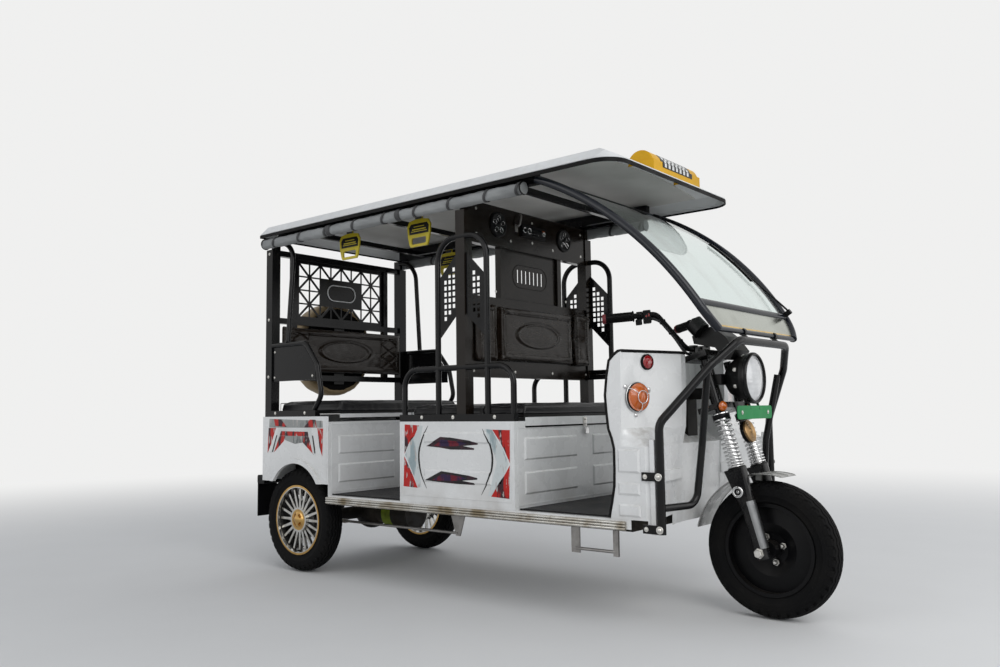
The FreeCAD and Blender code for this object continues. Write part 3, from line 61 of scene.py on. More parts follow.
sign_centre = Vector((0.768, 0, 1.740))
tail_lamp_width = 0.120
ahead = Vector((1, 0, 0))

# Camera of the photograph: place, turn and focal length in pixels of a 1000 pixel wide image
camera_place = Vector((2.46452, -3.13804, 0.77694))
camera_yaw = math.radians(39.5223)
camera_pitch = math.radians(5.0482)
camera_roll = math.radians(-0.79315)
focal_pixels = 860.776
image_width = 1000

# Paint and print colours
backdrop_colour = (0.87, 0.87, 0.865)
white_paint = (0.76, 0.765, 0.76)
black_paint = (0.0045, 0.0045, 0.0050)
dust = (0.23, 0.19, 0.14)
red_print = (0.46, 0.016, 0.012)
dark_print = (0.035, 0.012, 0.018)
grey_print = (0.30, 0.31, 0.30)
blue_print = (0.30, 0.37, 0.39)


def fork_point(z, y):
    """The centre line of a fork leg at one height."""
    return Vector((front_axle.x - (z - front_axle.z) * math.tan(rake), y, z))


def shade(colour, share):
    return tuple(c * share for c in colour)


# Materials

class Graph:
    """Short calls for the shader nodes that the materials here are made of."""

    def __init__(self, name):
        self.material = bpy.data.materials.new(name)
        self.material.use_nodes = True
        self.tree = self.material.node_tree
        self.tree.nodes.clear()
        self.place = self.node("ShaderNodeTexCoord").outputs["Object"]

    def node(self, kind, **settings):
        made = self.tree.nodes.new(kind)
        for key, value in settings.items():
            setattr(made, key, value)
        return made

    def feed(self, socket, value):
        if isinstance(value, bpy.types.NodeSocket):
            self.tree.links.new(value, socket)
        elif hasattr(value, "__len__") and len(value) == 3 and len(socket.default_value) == 4:
            socket.default_value = (*value, 1.0)
        else:
            socket.default_value = value

    def feed_all(self, made, *values):
        for socket, value in zip(made.inputs, values):
            self.feed(socket, value)

    def stretched(self, scale, turn=(0, 0, 0)):
        made = self.node("ShaderNodeMapping")
        self.feed(made.inputs["Vector"], self.place)
        made.inputs["Scale"].default_value = scale
        made.inputs["Rotation"].default_value = turn
        return made.outputs["Vector"]

    def axes(self, vector):
        """The X, Y and Z outputs of a split vector."""
        made = self.node("ShaderNodeSeparateXYZ")
        self.feed(made.inputs[0], vector)
        return made.outputs

    def texture(self, kind, scale, where=None, **settings):
        made = self.node("ShaderNodeTex" + kind, **settings)
        self.feed(made.inputs["Vector"], where or self.place)
        made.inputs["Scale"].default_value = scale
        return made

    def noise(self, scale, detail=3.0, where=None):
        made = self.texture("Noise", scale, where)
        made.inputs["Detail"].default_value = detail
        return made.outputs["Fac"]

    def patches(self, scale, detail, *levels):
        """Noise between two levels, spread over 0 to 1 or over a range given after them."""
        return self.level(self.noise(scale, detail), *levels)

    def cells(self, scale, feature="F1"):
        return self.texture("Voronoi", scale, feature=feature).outputs["Distance"]

    def waves(self, scale, direction):
        return self.texture("Wave", scale, bands_direction=direction).outputs["Fac"]

    def maths(self, operation, first, second=0.0):
        made = self.node("ShaderNodeMath", operation=operation)
        self.feed_all(made, first, second, 0.0)
        return made.outputs[0]

    def times(self, first, second):
        return self.maths("MULTIPLY", first, second)

    def level(self, value, low, high, to_low=0.0, to_high=1.0):
        made = self.node("ShaderNodeMapRange", clamp=True)
        self.feed_all(made, value, low, high, to_low, to_high)
        return made.outputs[0]

    def mix(self, factor, first, second):
        made = self.node("ShaderNodeMix", data_type="RGBA")
        for socket, value in zip((0, 6, 7), (factor, first, second)):
            self.feed(made.inputs[socket], value)
        return made.outputs[2]

    def facing_up(self):
        """How far a surface faces the sky, from 0 to 1."""
        geometry = self.node("ShaderNodeNewGeometry")
        return self.level(self.axes(geometry.outputs["Normal"])["Z"], 0.2, 1.0)

    def bump(self, height, strength, distance=0.001, under=None):
        made = self.node("ShaderNodeBump")
        made.inputs["Strength"].default_value = strength
        made.inputs["Distance"].default_value = distance
        self.feed(made.inputs["Height"], height)
        if under is not None:
            self.feed(made.inputs["Normal"], under)
        return made.outputs["Normal"]

    def surface(self, **sockets):
        """Ends the material in one Principled shader; underscores stand for spaces in socket names."""
        shader = self.node("ShaderNodeBsdfPrincipled")
        for key, value in sockets.items():
            self.feed(shader.inputs[key.replace("_", " ")], value)
        self.end(shader.outputs[0])
        return self.material

    def end(self, output):
        out = self.node("ShaderNodeOutputMaterial")
        self.tree.links.new(output, out.inputs["Surface"])


def painted(name, colour, gloss=0.25, dusty=0.35, low=0.30, high=0.55, coat=0.4, shine=0.5):
    """Sprayed paint with faint orange peel, uneven gloss, and dust on ledges and low down."""
    g = Graph(name)
    ledge = g.times(g.facing_up(), g.patches(38, 5, 0.35, 0.7))
    splash = g.times(g.level(g.axes(g.place)["Z"], high, low), g.patches(9, 6, 0.42, 0.75))
    dirt = g.times(g.maths("MAXIMUM", ledge, splash), dusty)
    base = g.mix(dirt, g.mix(g.patches(3.5, 2, 0.3, 0.7), shade(colour, 0.90), colour), dust)
    rough = g.maths("ADD", g.patches(14, 4, 0.3, 0.7, gloss, gloss + 0.14), g.times(dirt, 0.5))
    return g.surface(Base_Color=base, Roughness=rough, Normal=g.bump(g.noise(260, 2), 0.05, 0.0006),
                     Coat_Weight=coat, Coat_Roughness=0.12, Specular_IOR_Level=shine)


def metal(name, colour, rough=0.12, dull=0.14, brushed=None):
    """Bare or plated metal with uneven polish and, where brushed, fine lines along one axis."""
    g = Graph(name)
    stain = g.noise(26, 5)
    lines = g.noise(90, 4, g.stretched(brushed)) if brushed else g.noise(180, 3)
    return g.surface(Base_Color=g.mix(g.level(stain, 0.45, 0.8), colour, shade(colour, 0.72)), Metallic=1.0,
                     Roughness=g.level(stain, 0.3, 0.75, rough, rough + dull),
                     Normal=g.bump(lines, 0.12 if brushed else 0.03, 0.0005))


def plastic(name, colour, rough=0.38, shine=0.4):
    """Moulded plastic with a fine grain and a trace of dust on top."""
    g = Graph(name)
    tone = g.mix(g.patches(6, 4, 0.35, 0.7), colour, shade(colour, 0.82))
    return g.surface(Base_Color=g.mix(g.times(g.facing_up(), 0.03), tone, dust),
                     Roughness=g.patches(17, 3, 0.3, 0.7, rough, rough + 0.12),
                     Normal=g.bump(g.noise(220, 3), 0.12, 0.0006), Specular_IOR_Level=shine)


def lens(name, colour, rough=0.10, ribs=None):
    """Clear or coloured lamp plastic with moulded ribs."""
    g = Graph(name)
    pattern = g.waves(ribs, "Z") if ribs else g.cells(110)
    return g.surface(Base_Color=g.mix(g.patches(20, 2, 0.3, 0.7), colour, shade(colour, 0.8)),
                     Roughness=g.patches(12, 2, 0.3, 0.7, rough, rough + 0.08), Transmission_Weight=0.35,
                     Normal=g.bump(pattern, 0.35), Coat_Weight=0.6, Coat_Roughness=0.05)


def leatherette(name, colour, rough=0.30):
    """Seat vinyl: fine pebble grain, creases, worn sheen on top."""
    g = Graph(name)
    creases = g.noise(16, 6, g.stretched((1.0, 0.35, 2.2)))
    folds = g.bump(g.level(creases, 0.35, 0.75), 0.35, 0.003)
    worn = g.times(g.facing_up(), g.patches(7, 5, 0.4, 0.75, 0.05, 0.55))
    return g.surface(Base_Color=g.mix(worn, colour, tuple(c + 0.008 for c in colour)),
                     Roughness=g.level(creases, 0.3, 0.75, rough, rough + 0.2),
                     Normal=g.bump(g.cells(420, "SMOOTH_F1"), 0.22, 0.0007, folds),
                     Sheen_Weight=0.02, Sheen_Roughness=0.5, Specular_IOR_Level=0.30)


def woven(name, colour, thread=900, rough=0.85):
    """Plain woven cloth or tape."""
    g = Graph(name)
    cross = g.times(g.waves(thread, "X"), g.waves(thread, "Z"))
    stained = g.mix(g.patches(5, 6, 0.4, 0.75), colour, shade(colour, 0.62))
    return g.surface(Base_Color=g.mix(g.times(cross, 0.25), stained, shade(colour, 0.5)), Roughness=rough,
                     Normal=g.bump(cross, 0.3, 0.0006, g.bump(g.noise(24, 5), 0.3, 0.003)),
                     Sheen_Weight=0.2, Sheen_Roughness=0.6)


def rubber(name, dusty=0.10, rough=0.72):
    """Rubber with road dust in its low places."""
    g = Graph(name)
    patches = g.patches(11, 6, 0.42, 0.8)
    dust = g.times(patches, dusty)
    return g.surface(Base_Color=g.mix(dust, (0.0040, 0.0040, 0.0043), (0.070, 0.064, 0.056)),
                     Roughness=g.level(patches, 0.0, 1.0, rough, 0.92),
                     Normal=g.bump(g.noise(330, 4), 0.25, 0.0006), Specular_IOR_Level=0.10)


def clear_glass(name):
    """Thin tinted sheet with faint smears. The low IOR keeps reflections as faint as in the photograph."""
    g = Graph(name)
    smear = g.level(g.noise(4, 7, g.stretched((1, 2.5, 1))), 0.5, 0.85)
    return g.surface(Base_Color=g.mix(smear, (0.80, 0.88, 0.86), (0.70, 0.75, 0.73)), Transmission_Weight=1.0,
                     IOR=1.13, Roughness=g.level(smear, 0.0, 1.0, 0.0, 0.10))


def mirror(name):
    """Mirror sheet with faint ripples and fingerprints."""
    g = Graph(name)
    return g.surface(Base_Color=g.mix(g.patches(6, 5, 0.45, 0.8), (0.47, 0.49, 0.44), (0.33, 0.34, 0.30)),
                     Metallic=1.0, Roughness=g.patches(14, 5, 0.4, 0.8, 0.20, 0.34),
                     Normal=g.bump(g.noise(7, 2), 0.10, 0.004))


def alloy_wheel(name, centre):
    """Rear rim: gold lip and cap, chrome spokes, dark barrel and drum, by distance from the axle; the
    barrel's near-black is painted shade inside the chrome rim.
    """
    g = Graph(name)
    made = g.node("ShaderNodeVectorMath", operation="SUBTRACT")
    g.feed_all(made, g.place, centre)
    parts = g.axes(made.outputs[0])
    squares = [g.times(parts[letter], parts[letter]) for letter in ("X", "Z")]
    radius = g.maths("SQRT", g.maths("ADD", *squares))
    off_middle = g.maths("ABSOLUTE", parts["Y"])

    def beyond(value, limit):
        return g.maths("GREATER_THAN", value, limit)

    def within(value, limit):
        return g.maths("LESS_THAN", value, limit)

    lip = g.times(beyond(radius, 0.1600), beyond(off_middle, 0.0325))
    gold = g.maths("MAXIMUM", lip, within(radius, 0.0505))
    # the chrome barrel inside the rim is drawn near-black and not metallic: painted shade
    barrel = g.times(beyond(radius, 0.150), within(off_middle, 0.0300))
    inner = g.maths("MAXIMUM", barrel, g.times(within(off_middle, 0.019), within(radius, 0.093)))
    wear = g.patches(34, 5, 0.4, 0.75)
    chrome = g.mix(wear, (0.62, 0.61, 0.58), (0.36, 0.34, 0.30))
    brass = g.mix(wear, (0.58, 0.36, 0.12), (0.36, 0.21, 0.08))
    return g.surface(Base_Color=g.mix(inner, g.mix(gold, chrome, brass), (0.015, 0.014, 0.013)),
                     Metallic=g.level(inner, 0.0, 1.0, 0.95, 0.0),
                     Roughness=g.level(wear, 0.0, 1.0, 0.14, 0.34),
                     Normal=g.bump(g.noise(140, 3), 0.05, 0.0005))


def fork_finish(name):
    """Black castings, with chrome tubes where the springs sit, told apart by the place along the fork."""
    g = Graph(name)
    dot = g.node("ShaderNodeVectorMath", operation="DOT_PRODUCT")
    g.feed_all(dot, g.place, fork_up)
    start, end = (fork_point(z, 0).dot(fork_up) for z in (0.5485, 0.750))
    place = dot.outputs["Value"]
    tube = g.times(g.maths("GREATER_THAN", place, start), g.maths("LESS_THAN", place, end))
    wear = g.patches(30, 5, 0.45, 0.8)
    black = g.mix(wear, (0.006, 0.006, 0.0065), (0.018, 0.017, 0.016))
    return g.surface(Base_Color=g.mix(tube, black, (0.70, 0.70, 0.70)), Metallic=tube,
                     Roughness=g.level(wear, 0.0, 1.0, 0.22, 0.42),
                     Normal=g.bump(g.noise(200, 3), 0.06, 0.0005), Specular_IOR_Level=0.25)


def motor_finish(name):
    """Yellow-green end housing and a dusty black barrel, told apart by the place along the motor."""
    g = Graph(name)
    low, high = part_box("drive_motor")
    split = low[0] + 0.36 * (high[0] - low[0])
    barrel = g.level(g.axes(g.place)["X"], split - 0.002, split + 0.002)
    dirt = g.patches(22, 5, 0.40, 0.75)
    paint = g.mix(barrel, (0.22, 0.30, 0.015), (0.012, 0.010, 0.008))
    return g.surface(Base_Color=g.mix(g.times(dirt, 0.6), paint, (0.030, 0.022, 0.014)),
                     Roughness=g.level(dirt, 0.0, 1.0, 0.35, 0.8),
                     Normal=g.bump(g.noise(120, 4), 0.15, 0.0008), Specular_IOR_Level=0.25)


def printed_film(name, ground, streaks, density=34, flecks=1.0):
    """Printed sticker film: a ground colour broken by slanting streaks."""
    g = Graph(name)
    slant = (0, math.radians(24), 0)
    blend = g.level(g.noise(density, 5, g.stretched((1.0, 1.0, 0.22), slant)), 0.50, 0.56)
    edge = g.level(g.noise(density * 2.2, 3, g.stretched((1.0, 1.0, 0.3), slant)), 0.60, 0.64)
    base = g.mix(g.times(edge, flecks), g.mix(blend, ground, streaks), (0.45, 0.42, 0.40))
    return g.surface(Base_Color=base, Roughness=g.patches(15, 3, 0.3, 0.7, 0.22, 0.36),
                     Specular_IOR_Level=0.25, Normal=g.bump(g.noise(180, 2), 0.03, 0.0004))


def ribbed_metal(name):
    """Bright sill strips with dirt in their grooves."""
    g = Graph(name)
    lines = g.noise(60, 4, g.stretched((0.05, 6.0, 6.0)))
    dirt = g.patches(13, 6, 0.42, 0.7)
    return g.surface(Base_Color=g.mix(dirt, (0.52, 0.51, 0.48), (0.22, 0.18, 0.12)), Metallic=0.9,
                     Roughness=g.level(dirt, 0.0, 1.0, 0.2, 0.5), Normal=g.bump(lines, 0.2, 0.0008))


def floor_mat(name):
    """Ribbed rubber matting, dusty in patches."""
    g = Graph(name)
    dirt = g.times(g.patches(8, 6, 0.4, 0.75), 0.6)
    return g.surface(Base_Color=g.mix(dirt, (0.012, 0.012, 0.014), (0.055, 0.052, 0.047)), Roughness=0.8,
                     Normal=g.bump(g.waves(52, "Y"), 0.6, 0.0018, g.bump(g.noise(250, 3), 0.2, 0.0006)))


def printed_board(name):
    """The ceiling's pressed board: pale, with soft stains."""
    g = Graph(name)
    return g.surface(Base_Color=g.mix(g.patches(4, 6, 0.35, 0.8), (0.62, 0.61, 0.58), (0.46, 0.45, 0.42)),
                     Roughness=0.62,
                     Normal=g.bump(g.cells(300), 0.10, 0.0006, g.bump(g.noise(8, 3), 0.2, 0.004)))


materials = {
    "white": painted("white_body_paint", white_paint, 0.20, 0.55),
    "white_roof": painted("white_roof_shell", (0.74, 0.75, 0.75), 0.50, 0.22, 0.2, 0.3, coat=0.0, shine=0.25),
    "black": painted("black_gloss_paint", black_paint, 0.14, 0.03, coat=0.0, shine=0.22),
    "black_satin": painted("black_satin_paint", (0.005, 0.005, 0.005), 0.32, 0.03, coat=0.0, shine=0.2),
    "pressed": painted("brown_black_panel", (0.0095, 0.0065, 0.0045), 0.14, 0.02, coat=0.0, shine=0.25),
    "underside": painted("dusty_black_underside", (0.010, 0.009, 0.008), 0.5, 0.30, 0.2, 0.6, 0.0, 0.2),
    "frame_blue": painted("blue_black_screen_frame", (0.006, 0.008, 0.013), 0.12, 0.02, coat=0.0, shine=0.35),
    "silver": metal("silver_mudguard", (0.36, 0.36, 0.35), 0.20, 0.22),
    "fork_cover": metal("satin_grey_cover", (0.20, 0.205, 0.21), 0.34, 0.16, (6.0, 6.0, 0.3)),
    "bronze": metal("bronze_horn_face", (0.30, 0.19, 0.09), 0.30, 0.25),
    "grey_steel": metal("dull_grey_steel", (0.30, 0.29, 0.28), 0.40, 0.2),
    "chrome": metal("chrome_plate", (0.66, 0.66, 0.66), 0.07, 0.16),
    "gold": metal("gold_lacquer", (0.78, 0.52, 0.16), 0.14, 0.14),
    "zinc": metal("zinc_plated_fastener", (0.62, 0.61, 0.58), 0.25, 0.2),
    "red_rubber": plastic("dark_red_rubber", (0.16, 0.020, 0.024), 0.5),
    "glossy_black": plastic("glossy_black_window", (0.006, 0.007, 0.008), 0.08),
    "black_plastic": plastic("black_moulded_plastic", (0.0045, 0.0045, 0.005), 0.30, 0.13),
    "yellow_plastic": plastic("yellow_handle_plastic", (0.62, 0.50, 0.03), 0.30),
    "sign": plastic("yellow_sign_plastic", (0.66, 0.36, 0.008), 0.36, 0.2),
    "line_film": plastic("white_line_film", (0.72, 0.73, 0.72), 0.30),
    "plate": plastic("green_plate_film", (0.006, 0.21, 0.055), 0.36, 0.2),
    "vinyl": leatherette("black_seat_vinyl", (0.005, 0.005, 0.006), 0.26),
    "vinyl_brown": leatherette("brown_black_back_vinyl", (0.0115, 0.0070, 0.0042), 0.20),
    "cover": leatherette("tan_cover_vinyl", (0.30, 0.22, 0.12), 0.45),
    "cloth": woven("grey_rolled_curtain", (0.29, 0.30, 0.30), 700),
    "strap": woven("black_strap_webbing", (0.020, 0.020, 0.022), 900, 0.7),
    "tyre": rubber("tyre_rubber"),
    "trim": rubber("black_rubber_trim", 0.15, 0.42),
    "grip": rubber("grip_rubber", 0.12, 0.55),
    "amber": lens("amber_lamp_lens", (0.80, 0.17, 0.01)),
    "red_lens": lens("red_reflector_lens", (0.42, 0.01, 0.015)),
    "headlamp_glass": lens("headlamp_glass", (0.88, 0.89, 0.90), 0.06, 18),
    "red_film": printed_film("red_streaked_film", red_print, dark_print),
    "grey_film": printed_film("grey_streaked_film", grey_print, (0.16, 0.17, 0.17), 16),
    "blue_film": printed_film("grey_blue_feather_film", (0.58, 0.62, 0.62), blue_print, 22),
    "flash_film": printed_film("black_flash_film", (0.012, 0.010, 0.012), (0.035, 0.012, 0.020), 20, 0.0),
    "flash_core_film": printed_film("maroon_flash_film", (0.13, 0.006, 0.018), (0.022, 0.008, 0.045),
                                    12, 0.0),
    "black_film": printed_film("black_line_film", (0.008, 0.008, 0.008), (0.014, 0.014, 0.014), 34, 0.0),
    "green": motor_finish("green_and_black_motor"),
    "mat": floor_mat("ribbed_floor_mat"),
    "liner": printed_board("pale_ceiling_board"),
    "glass": clear_glass("windscreen_glass"),
    "mirror": mirror("mirror_chin_sheet"),
    "sill": ribbed_metal("ribbed_sill_strip"),
    "fork": fork_finish("fork_castings_and_tubes"),
}

# The CAD nodes that each look dresses
node_looks = {
    "white": ["front_panel", "middle_side_panels", "rear_side_panels", "rear_tail_panel", "seat_box_walls",
              "floor_deck"],
    "white_roof": ["roof_shell"],
    "black": ["side_rails", "rear_armrests", "rear_frame", "front_guard", "roof_frame"],
    "pressed": ["partition_frame"],
    "black_satin": ["driver_lid", "bench_lid", "rear_lid", "headlamp"],
    "underside": ["chassis_frame", "rear_axle", "leaf_springs", "battery_pack"],
    "grey_steel": ["brake_linkage"],
    "silver": ["front_mudguard"],
    "green": ["drive_motor"],
    "frame_blue": ["windscreen_frame"],
    "glass": ["windscreen_glass"],
    "mirror": ["windscreen_chin"],
    "sill": ["sill_trims"],
    "mat": ["floor_mats"],
    "liner": ["roof_headliner"],
    "trim": ["roof_bead"],
    "fork": ["fork"],
    "black_plastic": ["rear_bumper", "radio_speakers", "handlebar", "horn", "wiper", "front_rim"],
    "yellow_plastic": ["grab_handles"],
    "sign": ["roof_sign"],
    "amber": ["side_lamps"],
    "red_lens": ["tail_lamps"],
    "headlamp_glass": ["headlamp_lens"],
    "chrome": ["fork_springs"],
    "tyre": ["spare_wheel", "front_tyre", "rear_tyre_left", "rear_tyre_right"],
    "vinyl": ["driver_cushion", "bench_cushion", "rear_cushion"],
    "vinyl_brown": ["partition_backrests", "rear_backrest"],
    "cloth": ["curtain_rolls"],
}


def dress_all_nodes():
    dressed = [(name, materials[look]) for look, names in node_looks.items() for name in names]
    for side, name in sides:
        centre = (rear_axle_x, side * track_half, tyre_radius)
        dressed.append(("rear_rim_" + name, alloy_wheel("gold_and_chrome_rim_" + name, centre)))
    for name, material in dressed:
        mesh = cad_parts[name].data
        mesh.materials.clear()
        mesh.materials.append(material)


# Camera, floor and lights

def make_camera():
    forward = Vector((-math.sin(camera_yaw) * math.cos(camera_pitch),
                      math.cos(camera_yaw) * math.cos(camera_pitch), math.sin(camera_pitch)))
    right = Vector((math.cos(camera_yaw), math.sin(camera_yaw), 0))
    up = right.cross(forward)
    rolled_right = right * math.cos(camera_roll) + up * math.sin(camera_roll)
    rolled_up = up * math.cos(camera_roll) - right * math.sin(camera_roll)
    data = bpy.data.cameras.new("photo_camera")
    data.sensor_width = 36
    data.lens = focal_pixels / image_width * data.sensor_width
    data.clip_end = 200
    camera = bpy.data.objects.new("photo_camera", data)
    turn = Matrix((rolled_right, rolled_up, -forward)).transposed()
    camera.matrix_world = Matrix.Translation(camera_place) @ turn.to_4x4()
    bpy.context.scene.collection.objects.link(camera)
    bpy.context.scene.camera = camera


def seen_directly(tree):
    """1 for rays from the camera, from a reflection or through glass, else 0."""
    path = tree.nodes.new("ShaderNodeLightPath")
    made = path.outputs["Is Camera Ray"]
    for name in ("Is Glossy Ray", "Is Transmission Ray"):
        either = tree.nodes.new("ShaderNodeMath")
        either.operation = "MAXIMUM"
        tree.links.new(made, either.inputs[0])
        tree.links.new(path.outputs[name], either.inputs[1])
        made = either.outputs[0]
    return made


def make_world():
    """A plain pale surround, dimmer as a light than as a background."""
    world = bpy.data.worlds.new("studio")
    world.use_nodes = True
    bpy.context.scene.world = world
    tree = world.node_tree
    tree.nodes.clear()
    mix = tree.nodes.new("ShaderNodeMix")
    mix.data_type = "RGBA"
    tree.links.new(seen_directly(tree), mix.inputs[0])
    mix.inputs[6].default_value = (0.39, 0.41, 0.44, 1)
    mix.inputs[7].default_value = (*backdrop_colour, 1)
    background = tree.nodes.new("ShaderNodeBackground")
    tree.links.new(mix.outputs[2], background.inputs["Color"])
    out = tree.nodes.new("ShaderNodeOutputWorld")
    tree.links.new(background.outputs[0], out.inputs["Surface"])


def make_floor():
    """A pale floor that keeps the shadow near the object and fades into the backdrop far from it."""
    bm = bmesh.new()
    bmesh.ops.create_circle(bm, cap_ends=True, segments=96, radius=90)
    floor = object_from(bm, "floor")
    g = Graph("pale_floor")
    shader = g.node("ShaderNodeBsdfPrincipled")
    g.feed(shader.inputs["Base Color"], g.mix(g.noise(3, 3), (0.66, 0.66, 0.655), (0.69, 0.69, 0.685)))
    g.feed(shader.inputs["Roughness"], 0.8)
    g.feed(shader.inputs["Specular IOR Level"], 0.2)
    glow = g.node("ShaderNodeEmission")
    g.feed(glow.inputs["Color"], backdrop_colour)
    x, y = (g.axes(g.place)[letter] for letter in ("X", "Y"))
    reach = g.maths("SQRT", g.maths("ADD", g.times(x, x), g.times(y, y)))
    far = g.node("ShaderNodeMapRange", interpolation_type="SMOOTHSTEP")
    g.feed_all(far, reach, 2.4, 8.5, 0.0, 1.0)
    blend = g.node("ShaderNodeMixShader")
    g.feed_all(blend, g.times(far.outputs[0], seen_directly(g.tree)), shader.outputs[0], glow.outputs[0])
    g.end(blend.outputs[0])
    floor.data.materials.append(g.material)
    floor.location.z = -0.0005


def make_studio():
    scene = bpy.context.scene
    scene.view_settings.view_transform = "Standard"
    make_world()
    make_floor()
    # name, place, aim, size, power
    for name, place, aim, size, power in (
            ("key", (5.2, -2.6, 4.4), (0, 0, 0.8), 4.6, 205),
            ("side", (-1.5, -5.8, 2.8), (0, 0, 0.8), 4.0, 58),
            ("back", (-1.0, 6.0, 5.0), (0, 0, 1.0), 8.0, 165),
            ("front", (5.0, 2.4, 2.2), (0.6, 0, 0.7), 3.2, 44)):
        data = bpy.data.lights.new(name, "AREA")
        data.size = size
        data.energy = power
        lamp = bpy.data.objects.new(name, data)
        lamp.location = place
        lamp.rotation_euler = (Vector(aim) - Vector(place)).to_track_quat("-Z", "Y").to_euler()
        # seen through or mirrored in the windscreen, a lamp would burn it out
        lamp.visible_transmission = False
        lamp.visible_glossy = name != "back"
        scene.collection.objects.link(lamp)


# Mesh helpers

def object_from(bm, name, smooth=None):
    """A linked object from a bmesh. smooth is the angle in degrees above which an edge stays sharp."""
    mesh = bpy.data.meshes.new(name)
    bmesh.ops.recalc_face_normals(bm, faces=bm.faces)
    if smooth is not None:
        for face in bm.faces:
            face.smooth = True
        for edge in bm.edges:
            edge.smooth = edge.is_boundary or edge.calc_face_angle(0) < math.radians(smooth)
    bm.to_mesh(mesh)
    bm.free()
    made = bpy.data.objects.new(name, mesh)
    bpy.context.scene.collection.objects.link(made)
    return made


def piece(bm, name, look, body="root", smooth=40, slot=None, replaces=()):
    """Finishes a mesh as a named piece of the object."""
    made = object_from(bm, name, smooth)
    made.data.materials.append(materials[look])
    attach(made, body)
    if replaces:
        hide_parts(*replaces)
    return made


def add_mirrored(bm):
    """Adds the same shapes on the other side of the object."""
    made = bmesh.ops.duplicate(bm, geom=bm.verts[:] + bm.edges[:] + bm.faces[:])["geom"]
    verts = [g for g in made if isinstance(g, bmesh.types.BMVert)]
    bmesh.ops.scale(bm, vec=(1, -1, 1), verts=verts)
    bmesh.ops.reverse_faces(bm, faces=[g for g in made if isinstance(g, bmesh.types.BMFace)])


@contextmanager
def part(name, look, body="root", smooth=40, both_sides=False, **finish):
    """An empty mesh to fill, which then becomes a named piece."""
    bm = bmesh.new()
    yield bm
    if both_sides:
        add_mirrored(bm)
    piece(bm, name, look, body, smooth, **finish)


def circle(count):
    """Evenly spaced angles of a full turn."""
    return [2 * math.pi * step / count for step in range(count)]


def sweep(start, end, steps):
    """Angles from one to another, both in degrees."""
    return [math.radians(start + (end - start) * step / steps) for step in range(steps + 1)]


def round_y(angle):
    """The way out from an axis along Y."""
    return Vector((math.cos(angle), 0, math.sin(angle)))


def round_x(angle):
    """The way out from an axis along X."""
    return Vector((0, math.cos(angle), math.sin(angle)))


def bridge(bm, rows, around=True, joined=False, capped=False):
    """Faces between rows of vertices; around closes each row, joined ties the last row to the first."""
    count = max(len(row) for row in rows)
    for near, far in zip(rows, rows[1:] + rows[:1] if joined else rows[1:]):
        for index in range(count if around else count - 1):
            following = (index + 1) % count
            corners = [near[index % len(near)], near[following % len(near)],
                       far[following % len(far)], far[index % len(far)]]
            corners = list(dict.fromkeys(corners))
            if len(corners) > 2:
                bm.faces.new(corners)
    if capped:
        bm.faces.new(rows[0][::-1])
        bm.faces.new(rows[-1])


def add_box(bm, first, second, bevel, turn=None):
    """A box between two opposite corners, with rounded edges."""
    low, high = (Vector(corner) for corner in zip(*(sorted(pair) for pair in zip(first, second))))
    made = bmesh.ops.create_cube(bm, size=1.0)["verts"]
    matrix = Matrix.Translation((low + high) / 2) @ Matrix.Diagonal((*(high - low), 1.0))
    bmesh.ops.transform(bm, matrix=matrix, verts=made)
    edges = list({e for v in made for e in v.link_edges})
    result = bmesh.ops.bevel(bm, geom=edges, offset=bevel, segments=3, affect="EDGES", profile=0.7)
    if turn is not None:
        made = {v for f in result["faces"] for v in f.verts} | {v for v in made if v.is_valid}
        bmesh.ops.transform(bm, matrix=turn, verts=list(made))


def add_border(bm, xs, ys, zs, width, bevel, top_width=None):
    """Four strips inside the edge of an upright rectangle that faces along X."""
    (y0, y1), (z0, z1) = ys, zs
    inner_low, inner_top = z0 + width, z1 - (top_width or width)
    for y, next_y, z, next_z in ((y0, y0 + width, inner_low, inner_top),
                                 (y1 - width, y1, inner_low, inner_top),
                                 (y0, y1, z0, inner_low), (y0, y1, inner_top, z1)):
        add_box(bm, (xs[0], y, z), (xs[1], next_y, next_z), bevel)


def add_prism(bm, front, back):
    """A solid between two outlines with as many points."""
    bridge(bm, [[bm.verts.new(place) for place in outline] for outline in (front, back)], capped=True)


def add_lathe(bm, profile, place, axis, segments=32):
    """Turns an outline of (distance along the axis, radius) about an axis; closed where the radius is 0."""
    axis = Vector(axis).normalized()
    side = axis.orthogonal().normalized()
    other = axis.cross(side)
    rings = []
    for along, radius in profile:
        angles = circle(segments) if radius > 0 else [0.0]
        middle = Vector(place) + axis * along
        rings.append([bm.verts.new(middle + (side * math.cos(a) + other * math.sin(a)) * radius)
                      for a in angles])
    bridge(bm, rings)


def make_turned(name, look, profile, place, axis, segments, body="root", smooth=40, both_sides=False):
    """A piece that is a single turned shape."""
    with part(name, look, body, smooth, both_sides) as bm:
        add_lathe(bm, profile, place, axis, segments)


def add_tube(bm, points, radius, segments=12, closed=False):
    """A round tube along a list of points."""
    points = [Vector(p) for p in points]
    count = len(points)
    rings = []
    normal = None
    for index, point in enumerate(points):
        following = points[(index + 1) % count] if closed or index < count - 1 else point
        behind = points[index - 1] if closed or index else point
        along = (following - behind).normalized()
        if normal is None:
            normal = along.orthogonal().normalized()
        normal = (normal - along * normal.dot(along)).normalized()
        other = along.cross(normal)
        rings.append([bm.verts.new(point + (normal * math.cos(a) + other * math.sin(a)) * radius)
                      for a in circle(segments)])
    bridge(bm, rings, joined=closed, capped=not closed)


